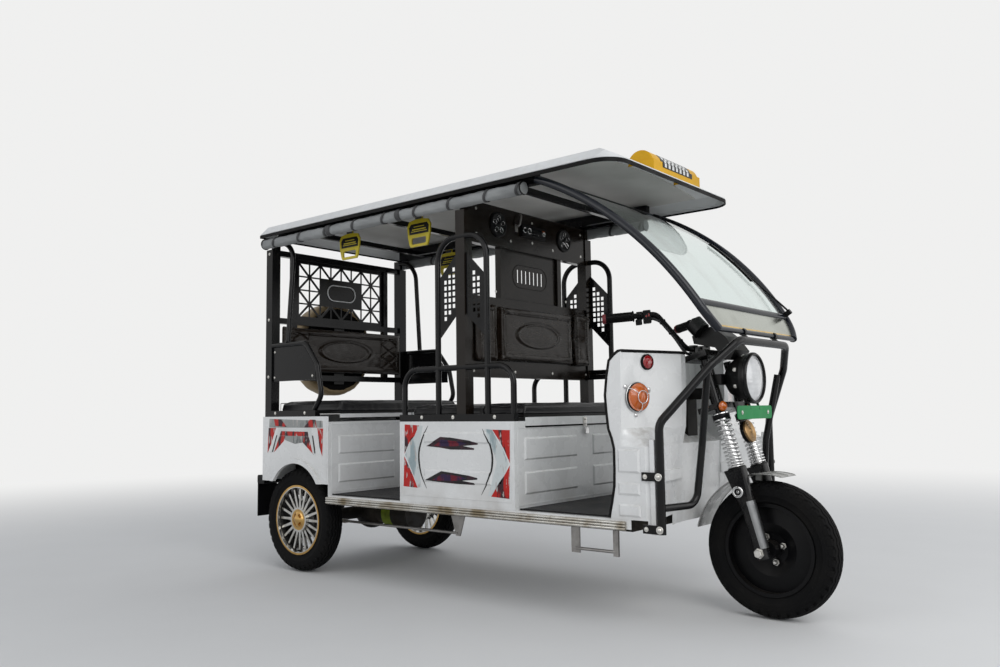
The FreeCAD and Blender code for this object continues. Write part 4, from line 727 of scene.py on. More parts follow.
def curve_points(controls, steps):
    """Points along a smooth curve through a few given places."""
    controls = [Vector(c) for c in controls]
    padded = [controls[0] * 2 - controls[1]] + controls + [controls[-1] * 2 - controls[-2]]
    spans = len(controls) - 1
    points = []
    for index in range(steps + 1):
        share = min(index / steps * spans, spans - 1e-6)
        start = int(share)
        t = share - start
        a, b, c, d = padded[start:start + 4]
        points.append(0.5 * (b * 2 + (c - a) * t + (a * 2 - b * 5 + c * 4 - d) * t * t
                             + (b * 3 - a - c * 3 + d) * t * t * t))
    return points


def rounded_path(a0, a1, b0, b1, corner, steps=7):
    """A rounded rectangle as a list of (a, b)."""
    return [(a + corner * math.cos(angle), b + corner * math.sin(angle))
            for a, b, start in ((a1 - corner, b1 - corner, 0), (a0 + corner, b1 - corner, 90),
                                (a0 + corner, b0 + corner, 180), (a1 - corner, b0 + corner, 270))
            for angle in sweep(start, start + 90, steps)]


def fine_path(points, spacing):
    """Adds places along a closed outline so that no run is longer than the spacing."""
    fine = []
    for start, end in zip(points, points[1:] + points[:1]):
        count = max(1, int(math.dist(start, end) / spacing))
        for step in range(count):
            fine.append(tuple(s + (e - s) * step / count for s, e in zip(start, end)))
    return fine


def add_rounded_loop(bm, x, ys, zs, corner, radius, spacing=0.012, steps=8):
    """A wire round an upright rounded rectangle that faces along X."""
    path = fine_path(rounded_path(*ys, *zs, corner, steps), spacing)
    add_tube(bm, [(x, y, z) for y, z in path], radius, 8, closed=True)


def add_bolt(bm, place, axis, head=0.0055, washer=0.009, height=0.004):
    """A washer with a domed head on it."""
    add_lathe(bm, [(0, washer), (0.0012, washer), (0.0012, head), (height * 0.6, head * 0.96),
                   (height, head * 0.55), (height, 0)], place, axis, 14)


# Wheels

def tread_height(y):
    """Radius of the tread over the tyre's width."""
    return tyre_radius - 0.0003 - 0.012 * (y / 0.043) ** 2


def wheel_row(bm, centre, angle, outline):
    """Vertices of an outline of (place across, radius) at one angle round an axle."""
    return [bm.verts.new(centre + round_y(angle) * radius + Vector((0, y, 0))) for y, radius in outline]


def add_zigzag_rib(bm, centre, middle, width, sway, teeth):
    """One raised rib that zigzags round the tread."""
    slope, root = 0.0006, 0.008
    half = width / 2
    rows = []
    for index in range(2 * teeth):
        shift = middle + (sway if index % 2 else -sway)
        outline = [(shift + y, tread_height(shift + y) - sink)
                   for y, sink in ((-half, root), (slope - half, 0), (half - slope, 0), (half, root))]
        rows.append(wheel_row(bm, centre, math.pi * index / teeth, outline))
    bridge(bm, rows, around=False, joined=True)


def add_shoulder_lugs(bm, centre, side, teeth):
    """Blocks round one shoulder, each with a sloped outer end on the sidewall."""
    outline = [(0.0385, tread_height(0.0385) - 0.008), (0.0385, tread_height(0.0385)), (0.0445, 0.2345),
               (0.0485, 0.2190), (0.0462, 0.2165)]
    step = 2 * math.pi / teeth
    for index in range(teeth):
        start = step * (index + (0.0 if side < 0 else 0.5))
        rows = [wheel_row(bm, centre, angle, [(side * y, radius) for y, radius in outline])
                for angle in (start, start + step * 0.62)]
        bridge(bm, rows, around=False, capped=True)


def make_tyre(name, centre, body, node):
    """A tyre with five zigzag ribs and shoulder blocks, in place of the plain one."""
    half = [(0.036, 0.1650), (0.0425, 0.1735), (0.0440, 0.1760), (0.0438, 0.1790), (0.0462, 0.1885),
            (0.0480, 0.1970), (0.0492, 0.1990), (0.0484, 0.2015), (0.0492, 0.2070), (0.0474, 0.2180),
            (0.0440, 0.2290), (0.0400, 0.2320)]
    half += [(y, tread_height(y) - 0.0066) for y in (0.032, 0.020, 0.0)]
    outline = half + [(-y, radius) for y, radius in reversed(half[:-1])] + [(-0.030, 0.1665), (0.030, 0.1665)]
    teeth = 40
    with part(name, "tyre", body, 32, replaces=(node,)) as bm:
        bridge(bm, [wheel_row(bm, centre, angle, outline) for angle in circle(96)], joined=True)
        for middle in (-0.0320, -0.0160, 0.0, 0.0160, 0.0320):
            add_zigzag_rib(bm, centre, middle, 0.0118, 0.0030, teeth)
        for side, _ in sides:
            add_shoulder_lugs(bm, centre, side, teeth)


def make_wheels():
    make_tyre("front_treaded_tyre", front_axle, "front_wheel", "front_tyre")
    for side, name in sides:
        make_tyre("rear_treaded_tyre_" + name, Vector((rear_axle_x, side * track_half, tyre_radius)),
                  "rear_wheel_" + name, "rear_tyre_" + name)
    # domed nuts and washers on the front wheel's studs
    stud_circle = 0.048
    with part("front_wheel_nuts", "zinc", "front_wheel", 30) as bm:
        for index in range(4):
            out = round_y(math.radians(20 + 90 * index)) * stud_circle
            for side, base_y in ((-1, -0.018), (1, 0.006)):
                place = front_axle + out + Vector((0, base_y, 0))
                add_lathe(bm, [(-0.001, 0.0125), (0.002, 0.0125), (0.002, 0.0098), (0.009, 0.0098),
                               (0.0125, 0.0085), (0.0165, 0.0055), (0.018, 0)], place, (0, side, 0), 6)
    # cap nuts on both ends of the front axle
    with part("front_axle_nuts", "zinc", "steering", 30) as bm:
        for side, _ in sides:
            place = front_axle + Vector((0, side * (fork_leg_y + 0.0305), 0))
            add_lathe(bm, [(-0.004, 0.019), (0.002, 0.019), (0.002, 0.0150), (0.012, 0.0150),
                           (0.0145, 0.0130), (0.0145, 0)], place, (0, side, 0), 6)
    for side, name in sides:
        stem = Vector((rear_axle_x, side * (track_half + 0.030), tyre_radius - 0.150))
        make_turned("valve_stem_" + name, "black_plastic",
                    [(0, 0.0045), (0.006, 0.0045), (0.008, 0.003), (0.020, 0.003), (0.021, 0.004),
                     (0.028, 0.004), (0.029, 0)], stem, (0, side, 0), 10, "rear_wheel_" + name)


# Fork springs and lamps

def round_fork(angle, side):
    """The way out from a fork leg's centre line: ahead at 0, outwards a quarter turn on."""
    return Vector((fork_up.z, 0, -fork_up.x)) * math.cos(angle) + Vector((0, side, 0)) * math.sin(angle)


def make_springs():
    low, high = fork_point(0.552, 0), fork_point(0.742, 0)
    length = (high - low).length
    turns, steps, coil_radius, wire_radius = 13, 22, 0.0272, 0.0036
    for side, name in sides:
        points = []
        for index in range(turns * steps + 1):
            share = index / (turns * steps)
            # the coils lie closer towards the lower end
            along = length * (0.55 * share + 0.45 * share ** 1.9)
            points.append(low + Vector((0, side * fork_leg_y, 0)) + fork_up * along
                          + round_fork(2 * math.pi * share * turns, side) * coil_radius)
        with part("fork_coil_spring_" + name, "chrome", "steering", 60,
                  replaces=("fork_springs",) if side < 0 else ()) as bm:
            add_tube(bm, points, wire_radius, 9)
        seat, top = (fork_point(z, side * fork_leg_y) for z in (0.5485, 0.742))
        with part("spring_collars_" + name, "black_plastic", "steering") as bm:
            add_lathe(bm, [(-0.004, 0.024), (-0.004, 0.0335), (0.003, 0.0335), (0.005, 0.031), (0.005, 0.018),
                           (-0.004, 0.018), (-0.004, 0.024)], seat, fork_up, 36)
            add_lathe(bm, [(-0.016, 0.0170), (-0.016, 0.0300), (-0.013, 0.0325), (0.004, 0.0325),
                           (0.010, 0.0300), (0.012, 0.0250), (0.012, 0.0160)], top, fork_up, 36)
        with part("spring_bright_rings_" + name, "chrome", "steering") as bm:
            for ring in ([(-0.019, 0.0325), (-0.0185, 0.0340), (-0.0145, 0.0340), (-0.014, 0.0325)],
                         [(0.004, 0.0325), (0.0045, 0.0338), (0.0075, 0.0338), (0.008, 0.0310)]):
                add_lathe(bm, ring, top, fork_up, 36)


def make_headlamp():
    for name, look, segments, smooth, profile in (
            ("bezel", "black", 72, 40,
             [(-0.012, 0.0955), (-0.011, 0.0978), (-0.004, 0.0980), (0.001, 0.0972), (0.0052, 0.0925),
              (0.0050, 0.0880), (0.0005, 0.0862)]),
            ("reflector", "chrome", 72, 50,
             [(-0.0450, 0.0), (-0.0448, 0.024), (-0.0375, 0.043), (-0.0290, 0.0615), (-0.0170, 0.0755),
              (-0.0055, 0.0852)]),
            ("bulb", "headlamp_glass", 24, 40,
             [(-0.0450, 0.012), (-0.030, 0.012), (-0.028, 0.009), (-0.016, 0.009), (-0.010, 0.006),
              (-0.008, 0)])):
        make_turned("headlamp_" + name, look, profile, headlamp_place, ahead, segments, "steering", smooth)
    # turn signals on the fork's sides
    with part("front_signal_lenses", "amber", "steering", 50) as glass, \
            part("front_signal_cups", "black_plastic", "steering") as cups:
        for side, _ in sides:
            place, axis = Vector((1.042, side * 0.110, 0.778)), (0.93, side * 0.36, 0)
            add_lathe(cups, [(-0.030, 0.007), (-0.012, 0.008), (-0.008, 0.019), (0.000, 0.021),
                             (0.003, 0.0205)], place, axis, 28)
            add_lathe(glass, [(0.001, 0.0200), (0.006, 0.0190), (0.011, 0.0150), (0.014, 0.0080), (0.015, 0)],
                      place, axis, 28)
            add_tube(cups, curve_points([(1.010, side * 0.095, 0.772), (1.016, side * 0.102, 0.775),
                                         (1.026, side * 0.106, 0.777)], 6), 0.006, 10)


def make_front_plate():
    """A blank number plate on two straps under the headlamp."""
    half, low, high, back_x, thickness = 0.1565, 0.729, 0.779, 1.121, 0.003
    front_x = back_x + thickness
    outline = rounded_path(-half, half, low, high, 0.012, 4)
    with part("front_number_plate_blank", "plate", "steering") as bm:
        add_prism(bm, *([(x, y, z) for y, z in outline] for x in (front_x, back_x)))
    with part("front_plate_bolts", "zinc", "steering") as bm:
        for side, _ in sides:
            add_bolt(bm, (front_x, side * 0.118, (low + high) / 2), ahead, 0.0045, 0.008)
    with part("front_plate_bracket", "black_satin", "steering") as bm:
        for side, _ in sides:
            add_tube(bm, curve_points([(1.120, side * 0.040, 0.764), (1.117, side * 0.040, 0.785),
                                       (1.100, side * 0.040, 0.800)], 8), 0.005, 8)
        add_box(bm, (1.1165, -0.125, 0.745), (1.1205, 0.125, 0.763), 0.001)


# Soft goods

cloth_settings = {"quality": 4, "mass": 0.35, "tension_stiffness": 12, "compression_stiffness": 12,
                  "shear_stiffness": 6, "bending_stiffness": 0.6, "use_pressure": True,
                  "vertex_group_mass": "held"}
pad_voxel = 0.0065
last_frame = 20


def ripple(place, scale):
    """A smooth, repeatable unevenness from sines, between -1 and 1."""
    x, y, z = (c * scale for c in place)
    return (math.sin(x * 1.7 + 2.1 * math.sin(y * 0.9 + z)) + math.sin(y * 2.3 + 1.7 * math.sin(z * 1.1 + x))
            + math.sin(z * 1.9 + 1.3 * math.sin(x * 1.3 - y))) / 3


def settle(made):
    """Applies every modifier of an object to its mesh."""
    graph = bpy.context.evaluated_depsgraph_get()
    mesh = bpy.data.meshes.new_from_object(made.evaluated_get(graph))
    made.modifiers.clear()
    made.data = mesh


def start_pad(name, low, high, corner, held):
    """A remeshed rounded slab, held still where it rests on something."""
    bm = bmesh.new()
    add_box(bm, low, high, corner)
    made = object_from(bm, name)
    modifier = made.modifiers.new("remesh", "REMESH")
    modifier.mode = "VOXEL"
    modifier.voxel_size = pad_voxel
    settle(made)
    group = made.vertex_groups.new(name="held")
    group.add([v.index for v in made.data.vertices if held(v.co)], 1.0, "REPLACE")
    return made


def inflate(pads):
    """Swells all the pads at once with cloth under pressure, and limits how far each point moves."""
    starts = {}
    for made, pressure, limit in pads:
        starts[made.name] = [v.co.copy() for v in made.data.vertices]
        cloth = made.modifiers.new("cloth", "CLOTH")
        for key, value in cloth_settings.items():
            setattr(cloth.settings, key, value)
        cloth.settings.uniform_pressure_force = pressure
        cloth.settings.effector_weights.gravity = 0
        cloth.point_cache.frame_start = 1
        cloth.point_cache.frame_end = last_frame
    scene = bpy.context.scene
    for number in range(1, last_frame + 1):
        scene.frame_set(number)
    for made, pressure, limit in pads:
        settle(made)
        for vertex, start in zip(made.data.vertices, starts[made.name]):
            moved = vertex.co - start
            if moved.length > limit:
                vertex.co = start + moved * (limit / moved.length)
    scene.frame_set(1)


def finish_pad(made, look, body, nodes, shape, low, high):
    """One subdivision, the sewn shape on top, then the piece's place in the assembly."""
    modifier = made.modifiers.new("smooth", "SUBSURF")
    modifier.levels = modifier.render_levels = 1
    settle(made)
    mesh = made.data
    for vertex in mesh.vertices:
        place = shape(vertex.co.copy())
        vertex.co = Vector([min(max(place[a], low[a]), high[a]) for a in range(3)])
    for polygon in mesh.polygons:
        polygon.use_smooth = True
    mesh.materials.clear()
    mesh.materials.append(materials[look])
    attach(made, body)
    if nodes:
        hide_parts(*nodes)


def dip(distance, width, depth):
    """How deep a sewn line pulls the surface in, at a distance from it."""
    return depth * math.exp(-(distance / width) ** 2)


def start_cushions():
    """The three seat cushions on their lids, before they swell."""
    inset, headroom = Vector((0.006, 0.006, 0.0)), Vector((0.006, 0.006, 0.009))
    started = []
    for seat in ("driver", "bench", "rear"):
        low, high = (Vector(c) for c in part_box(seat + "_cushion"))
        made = start_pad(seat + "_seat_cushion", low + inset, high - headroom, 0.014,
                         lambda p, bottom=low.z: p.z < bottom + 0.004)
        started.append((made, seat, low, high))
    return started


def cushion_shape(low, high):
    """Shapes a point of a cushion: crowned top with sit marks, piped edge, sides that pull in."""
    middle = (low + high) / 2
    half = (high - low) / 2
    piping_z = high.z - 0.0125

    def shape(p):
        share_x = abs(p.x - middle.x) / half.x
        share_y = abs(p.y - middle.y) / half.y
        if p.z > high.z - 0.020:
            crown = (1 - share_x ** 2.2) * (1 - share_y ** 6)
            p.z += 0.0035 * crown - 0.0035
            p.z += 0.0011 * ripple(p, 26) * (1 - share_x ** 4)
            for seat in (-0.22, 0.20):
                spot = math.hypot((p.y - seat) / 0.17, (p.x - middle.x) / (half.x * 0.8))
                p.z -= 0.0030 * math.exp(-spot ** 2 * 1.6)
        pull = dip(abs(p.z - piping_z), 0.0035, 0.0016)
        if share_x > 0.9:
            p.x -= math.copysign(pull, p.x - middle.x)
        if share_y > 0.9:
            p.y -= math.copysign(pull, p.y - middle.y)
        # the long sides pull in a little between the corners, with soft upright folds
        if share_x > 0.93:
            belly = 0.0022 * math.sin(math.pi * min(max((p.z - low.z) / (high.z - low.z), 0), 1))
            fold = 0.0010 * math.sin(p.y * 96 + 2.0 * math.sin(p.y * 31)) + 0.0006 * ripple(p, 60)
            p.x -= math.copysign(belly * (1 - share_y ** 4) + fold * 0.6, p.x - middle.x)
        return p
    return shape


def quilted(across, up, rows, depth):
    """Diamond tufting: valleys along two sets of slanted lines, with a pit at each crossing."""
    lines = [1 - abs(((across + way * up * rows) % 1.0) - 0.5) * 2 for way in (1, -1)]
    valley = max(math.exp(-(line / 0.16) ** 2) for line in lines)
    pit = math.prod(math.exp(-(line / 0.3) ** 2) for line in lines)
    return -depth * (0.62 * valley + 0.38 * pit)


def back_shape(low, high, outward, border, oval, tufted):
    """Shapes a point of a padded back: a rolled border round a sunk field, with an oval and tufted ends."""
    middle = (low + high) / 2
    half = (high - low) / 2
    face = high.x if outward > 0 else low.x
    front_depth, sink, tuft_share = 0.026, 0.013, 0.155

    def shape(p):
        depth_in = abs(p.x - face)
        if depth_in > front_depth:
            return p
        inner = min(half.y - abs(p.y - middle.y), half.z - abs(p.z - middle.z))
        if inner < border:
            roll = 1 - (abs(inner - border * 0.55) / (border * 0.55)) ** 2
            height = -0.006 * (1 - max(roll, 0.0))
        else:
            height = -sink * min((inner - border) / 0.006, 1.0)
            if tufted:
                field_width = 2 * (half.y - border)
                across = (p.y - (low.y + border)) / field_width
                up = (p.z - (low.z + border)) / (2 * (half.z - border))
                from_end = min(across, 1 - across)
                if from_end < tuft_share:
                    height += quilted(from_end / tuft_share, up, 2.5, 0.009) + 0.006
                height -= dip(abs(from_end - tuft_share) * field_width, 0.0035, 0.005)
            if oval:
                reach = math.hypot((p.y - middle.y) / oval[0], (p.z - middle.z) / oval[1])
                height += dip(reach - 1.0, 0.060, 0.0050) - dip(reach - 1.14, 0.05, 0.0030)
                height += 0.0035 * max(0.0, 1 - reach ** 2)
        height -= dip(inner - border, 0.0028, 0.0042)
        height += 0.0008 * ripple(p, 40) + 0.0012 * ripple(p, 14)
        p.x += outward * height * (1 - depth_in / front_depth * 0.5)
        return p
    return shape


def start_backs():
    """The five pads of the two backrests, before they swell."""
    front_x, thickness, low_z, high_z = 0.076, 0.040, 0.980, 1.232
    driver_depth = (front_x, front_x + thickness)
    rear_low, rear_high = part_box("rear_backrest")
    # name, the two faces, the two ends, way it faces, border, oval, tufted, nodes that it replaces
    pads = (("driver_back_middle", driver_depth, (-0.275, 0.275), 1, 0.034,
             (0.150, 0.052), False, ("partition_backrests",)),
            ("driver_back_right", driver_depth, (-0.420, -0.292), 1, 0.026, None, False, ()),
            ("driver_back_left", driver_depth, (0.292, 0.420), 1, 0.026, None, False, ()),
            ("bench_back", (0.0, thickness), (-0.420, 0.420), -1, 0.040, (0.170, 0.055), True, ()),
            ("rear_back", (rear_low[0] + 0.003, rear_high[0]), (-0.420, 0.420), 1, 0.040,
             (0.170, 0.055), True, ("rear_backrest",)))
    started = []
    for name, (x0, x1), (y0, y1), way, border, oval, tufted, nodes in pads:
        low, high = Vector((x0, y0, low_z)), Vector((x1, y1, high_z))
        rest = low.x if way > 0 else high.x
        # room to swell at the face that isn't held
        low_room, high_room = (0.0, 0.005) if way > 0 else (0.005, 0.0)
        made = start_pad(name + "_pad", low + Vector((low_room, 0.004, 0.004)),
                         high - Vector((high_room, 0.004, 0.004)), 0.013,
                         lambda p, rest=rest: abs(p.x - rest) < 0.004)
        started.append((made, low, high, way, border, oval, tufted, nodes))
    return started


def make_soft_goods():
    cushions = start_cushions()
    backs = start_backs()
    inflate([(made, 4.0, 0.009) for made, *_ in cushions] + [(made, 3.5, 0.006) for made, *_ in backs])
    for made, seat, low, high in cushions:
        finish_pad(made, "vinyl", seat + "_seat", (seat + "_cushion",), cushion_shape(low, high), low, high)
    for made, low, high, way, border, oval, tufted, nodes in backs:
        shape = back_shape(low, high, way, border, oval, tufted)
        finish_pad(made, "vinyl_brown", "root", nodes, shape, low, high)
    # piping on the seats' upper edges and upright seams at their corners
    for made, seat, low, high in cushions:
        with part(seat + "_cushion_piping", "vinyl", seat + "_seat", 60) as bm:
            inset = 0.0022
            path = rounded_path(low.x + inset, high.x - inset, low.y + inset, high.y - inset, 0.017)
            add_tube(bm, [(x, y, high.z - 0.0125) for x, y in fine_path(path, 0.012)], 0.0019, 8, closed=True)
            for x in (low.x + 0.0062, high.x - 0.0062):
                for y in (low.y + 0.0062, high.y - 0.0062):
                    add_tube(bm, [(x, y, z) for z in (high.z - 0.013, (low.z + high.z) / 2, low.z + 0.001)],
                             0.0016, 8)


def make_rolls():
    """Rolled side curtains with straps and end caps."""
    radius, centre_y, centre_z = 0.029, 0.4793, 1.655
    start_x, end_x, steps = -1.318, 0.405, 180
    straps = [start_x + 0.10 + 0.205 * index for index in range(8)] + [0.385]
    wide_straps = [-0.783, -0.301]

    def rolled_radius(x, angle):
        """The cloth's radius: faint creases, a lip where the cloth ends and a waist at each strap."""
        crease = 0.0011 * math.sin(3 * angle + 21 * x) + 0.0008 * math.sin(x * 83 + 4 * angle)
        crease += 0.0006 * math.sin(x * 190 + 7 * math.sin(angle * 2 + x * 9))
        lip = 0.0022 if 0.3 < angle / (2 * math.pi) < 0.92 else 0
        waist = min(sum(math.exp(-((x - s) / 0.016) ** 2) for s in straps + wide_straps), 1.0)
        return radius - 0.0056 + lip + crease - 0.0030 * waist

    for side, name in sides:
        def vertex(bm, x, angle, r):
            return bm.verts.new((x, side * (centre_y + r * math.cos(angle)), centre_z + r * math.sin(angle)))

        bm = bmesh.new()
        places = [start_x + (end_x - start_x) * index / steps for index in range(steps + 1)]
        bridge(bm, [[vertex(bm, x, a, rolled_radius(x, a)) for a in circle(36)] for x in places], capped=True)
        made = piece(bm, "rolled_curtain_" + name, "cloth", "root", 50,
                     replaces=("curtain_rolls",) if side < 0 else ())
        with part("curtain_straps_" + name, "strap", smooth=50, slot="curtain_fabric") as bm:
            for group, half, lean in ((straps, 0.0065, 0.010), (wide_straps, 0.014, 0.0)):
                outline = ((-half, 0.0048), (-half, 0.0024), (half, 0.0024), (half, 0.0048))
                for strap in group:
                    bridge(bm, [[vertex(bm, strap + off + lean * math.sin(a), a, radius - sink)
                                 for a in circle(32)] for off, sink in outline])
        with part("curtain_end_caps_" + name, "black_plastic", slot="curtain_fabric") as bm:
            for x, way in ((start_x, -1), (end_x, 1)):
                add_lathe(bm, [(-0.006, radius - 0.0018), (-0.0045, radius - 0.0004),
                               (-0.0015, radius - 0.0008), (0.0, radius - 0.003), (0.0, radius - 0.010),
                               (-0.002, radius - 0.012), (-0.002, 0.004), (0.0, 0.003), (0.0, 0)],
                          (x - way * 0.0005, side * centre_y, centre_z), (way, 0, 0), 36)


def make_spare():
    """The spare wheel's tyre cover: a sheet over the rear face and tread, with a hem in front."""
    profile = [(-0.0592, 0.020), (-0.0590, 0.040), (-0.0560, 0.10), (-0.0540, 0.165), (-0.0535, 0.215),
               (-0.0500, 0.2435), (-0.040, 0.2530), (-0.020, 0.2555), (0.0, 0.2562), (0.020, 0.2555),
               (0.038, 0.2535), (0.0475, 0.2455), (0.0510, 0.236), (0.0518, 0.228)]

    def pulled(along, radius, angle):
        """The radius with faint puckers, deeper towards the hem."""
        return (radius + (0.0014 * math.sin(17 * angle) if radius > 0.2 else 0)
                + 0.0011 * math.sin(41 * angle + 120 * along) * max(0.0, along / 0.05))

    bm = bmesh.new()
    rings = [[bm.verts.new(spare_centre + ahead * along + round_x(a) * pulled(along, radius, a))
              for a in circle(120)] for along, radius in profile]
    bridge(bm, rings)
    bm.faces.new(rings[0])
    area = sum(face.calc_area() for face in bm.faces)
    made = piece(bm, "spare_wheel_cover", "cover", "root", 60)
    solid = made.modifiers.new("thickness", "SOLIDIFY")
    solid.thickness = 0.0012
    solid.offset = 1.0
    settle(made)
    # piped seams round the cover's rear edge and face, and its hem
    with part("spare_cover_seams", "cover", smooth=60) as bm:
        for along, radius, thick in ((-0.0512, 0.2440, 0.0026), (-0.0560, 0.1180, 0.0012),
                                     (0.0500, 0.2400, 0.0028)):
            add_tube(bm, [spare_centre + ahead * along + round_x(a) * radius for a in circle(96)], thick, 6,
                     closed=True)


# Printed film on the side panels: look, layer and outlines as (x, z) in millimetres, the same on both sides

sticker_lift = 0.0004

middle_fields = ((-150, 228, 640, 688), (-150, 228, 475, 530))

middle_prints = {
    "red": ("red_film", 1, (
        [(-267, 718), (-180, 714), (-207, 668), (-239, 640), (-268, 591)],
        [(-270, 581), (-237, 530), (-218, 500), (-189, 448), (-275, 451)],
        [(233, 697), (323, 696), (321, 567), (293, 619), (269, 653)],
        [(320, 558), (316, 428), (223, 432), (266, 490), (291, 516)])),
    "feather": ("blue_film", 1, (
        [(195, 700), (231, 697), (265, 644), (281, 631), (314, 564), (274, 484), (262, 481), (224, 434),
         (208, 434), (256, 568)],
        [(-180, 714), (-156, 712), (-190, 590), (-167, 452), (-186, 449), (-222, 517), (-264, 586),
         (-229, 657), (-207, 668)])),
    "flash": ("flash_film", 1, (
        [(-135, 626), (-50, 666), (7, 664), (109, 653), (154, 643), (157, 639), (152, 636), (73, 630),
         (134, 622), (136, 619), (134, 615), (6, 614), (-58, 621)],
        [(-141, 483), (-45, 524), (5, 520), (107, 511), (154, 503), (157, 500), (152, 496), (71, 489),
         (136, 482), (138, 478), (136, 474), (31, 474), (-78, 479)])),
    "flash_core": ("flash_core_film", 2, (
        [(-92, 628), (-42, 655), (64, 647), (96, 640), (40, 628), (-60, 626)],
        [(-96, 485), (-38, 513), (64, 506), (96, 498), (38, 487), (-66, 484)])),
}
middle_arcs = ([(-126, 712), (-161, 655), (-181, 590), (-169, 512), (-135, 448)],
               [(180, 700), (217, 643), (232, 580), (217, 510), (172, 436)])

rear_prints = {
    "ground": ("grey_film", 1, (
        [(-1249, 746), (-828, 735), (-826, 702), (-1252, 702)],
        [(-1163, 662), (-1116, 640), (-1040, 622), (-978, 630), (-924, 661)])),
    "wedges": ("red_film", 2, (
        [(-1256, 700), (-1195, 700), (-1235, 618), (-1263, 574)],
        [(-866, 700), (-823, 698), (-829, 567), (-850, 610)],
        [(-1212, 744), (-1153, 743), (-1106, 705), (-1200, 710)],
        [(-924, 741), (-881, 740), (-872, 703), (-969, 703)],
        [(-1152, 684), (-939, 682), (-924, 661), (-1163, 662)],
        [(-1163, 661), (-1116, 659), (-1131, 634), (-1209, 579)],
        [(-968, 660), (-924, 660), (-894, 573), (-978, 630)])),
    "frame": ("line_film", 3, (
        [(-1168, 702), (-914, 701), (-874, 570), (-899, 576), (-939, 683), (-1152, 685), (-1209, 579),
         (-1241, 575)],)),
    "frame_line": ("black_film", 4, (
        [(-1190, 664), (-1182, 664), (-1216, 580), (-1226, 579)],
        [(-906, 664), (-899, 664), (-878, 580), (-887, 579)])),
}


def rise_over(x, z, fields):
    """How far a side panel's face stands out at one place, over its raised fields."""
    rise = 0.0
    for x0, x1, z0, z1 in fields:
        inside = min(x - x0, x1 - x, z - z0, z1 - z) / 1000
        rise = max(rise, min(inside / 1.5, emboss_depth))
    return rise


def add_film(bm, outlines, side, layer, fields):
    """A piece of film over a side panel, creased where the panel's raised fields slope."""
    flat = bmesh.new()
    for outline in outlines:
        flat.faces.new([flat.verts.new((x / 1000, 0, z / 1000)) for x, z in outline])
    bmesh.ops.remove_doubles(flat, verts=flat.verts, dist=1e-6)
    bmesh.ops.triangulate(flat, faces=flat.faces)
    slope = 1500 * emboss_depth
    for x0, x1, z0, z1 in fields:
        cuts = [((x, 0, 0), (1, 0, 0)) for x in (x0, x0 + slope, x1 - slope, x1)]
        cuts += [((0, 0, z), (0, 0, 1)) for z in (z0, z0 + slope, z1 - slope, z1)]
        cuts += [((x, 0, z), (way, 0, 1))
                 for x, z, way in ((x0, z0, -1), (x1, z0, 1), (x0, z1, 1), (x1, z1, -1))]
        for place, normal in cuts:
            bmesh.ops.bisect_plane(flat, geom=flat.verts[:] + flat.edges[:] + flat.faces[:], dist=1e-6,
                                   plane_co=Vector(place) / 1000, plane_no=normal)
    bottom = {}
    top = {}
    for vert in flat.verts:
        base = side_face + rise_over(vert.co.x * 1000, vert.co.z * 1000, fields)
        top[vert] = bm.verts.new((vert.co.x, side * (base + sticker_lift * layer), vert.co.z))
        bottom[vert] = bm.verts.new((vert.co.x, side * (base - 0.0002), vert.co.z))
    for face in flat.faces:
        bm.faces.new([top[v] for v in face.verts])
        bm.faces.new([bottom[v] for v in reversed(face.verts)])
    for edge in flat.edges:
        if edge.is_boundary:
            a, b = edge.verts
            bm.faces.new([top[a], top[b], bottom[b], bottom[a]])
    flat.free()


def crescent(places, thickness, steps=28):
    """Four-sided pieces of a curved line, thick in the middle and pointed at both ends."""
    line = curve_points([(x, 0, z) for x, z in places], steps)
    near, far = [], []
    for index, point in enumerate(line):
        along = (line[min(index + 1, steps)] - line[max(index - 1, 0)]).normalized()
        half = thickness / 2 * math.sin(math.pi * (0.02 + 0.96 * index / steps)) ** 0.8
        across = Vector((-along.z, 0, along.x)) * half
        for edge, place in ((near, point + across), (far, point - across)):
            edge.append((place.x, place.z))
    return [[near[i], near[i + 1], far[i + 1], far[i]] for i in range(steps)]


def make_stickers():
    for side, name in sides:
        for where, prints, fields in (("middle", middle_prints, middle_fields), ("rear", rear_prints, ())):
            for kind, (look, layer, outlines) in prints.items():
                with part("_".join((where, kind, "film", name)), look, smooth=20) as bm:
                    for outline in outlines:
                        add_film(bm, [outline], side, layer, fields)
        with part("middle_arc_film_" + name, "black_film", smooth=20) as bm:
            for places in middle_arcs:
                add_film(bm, crescent(places, 9), side, 2, middle_fields)


# Trim on the seat boxes and rails

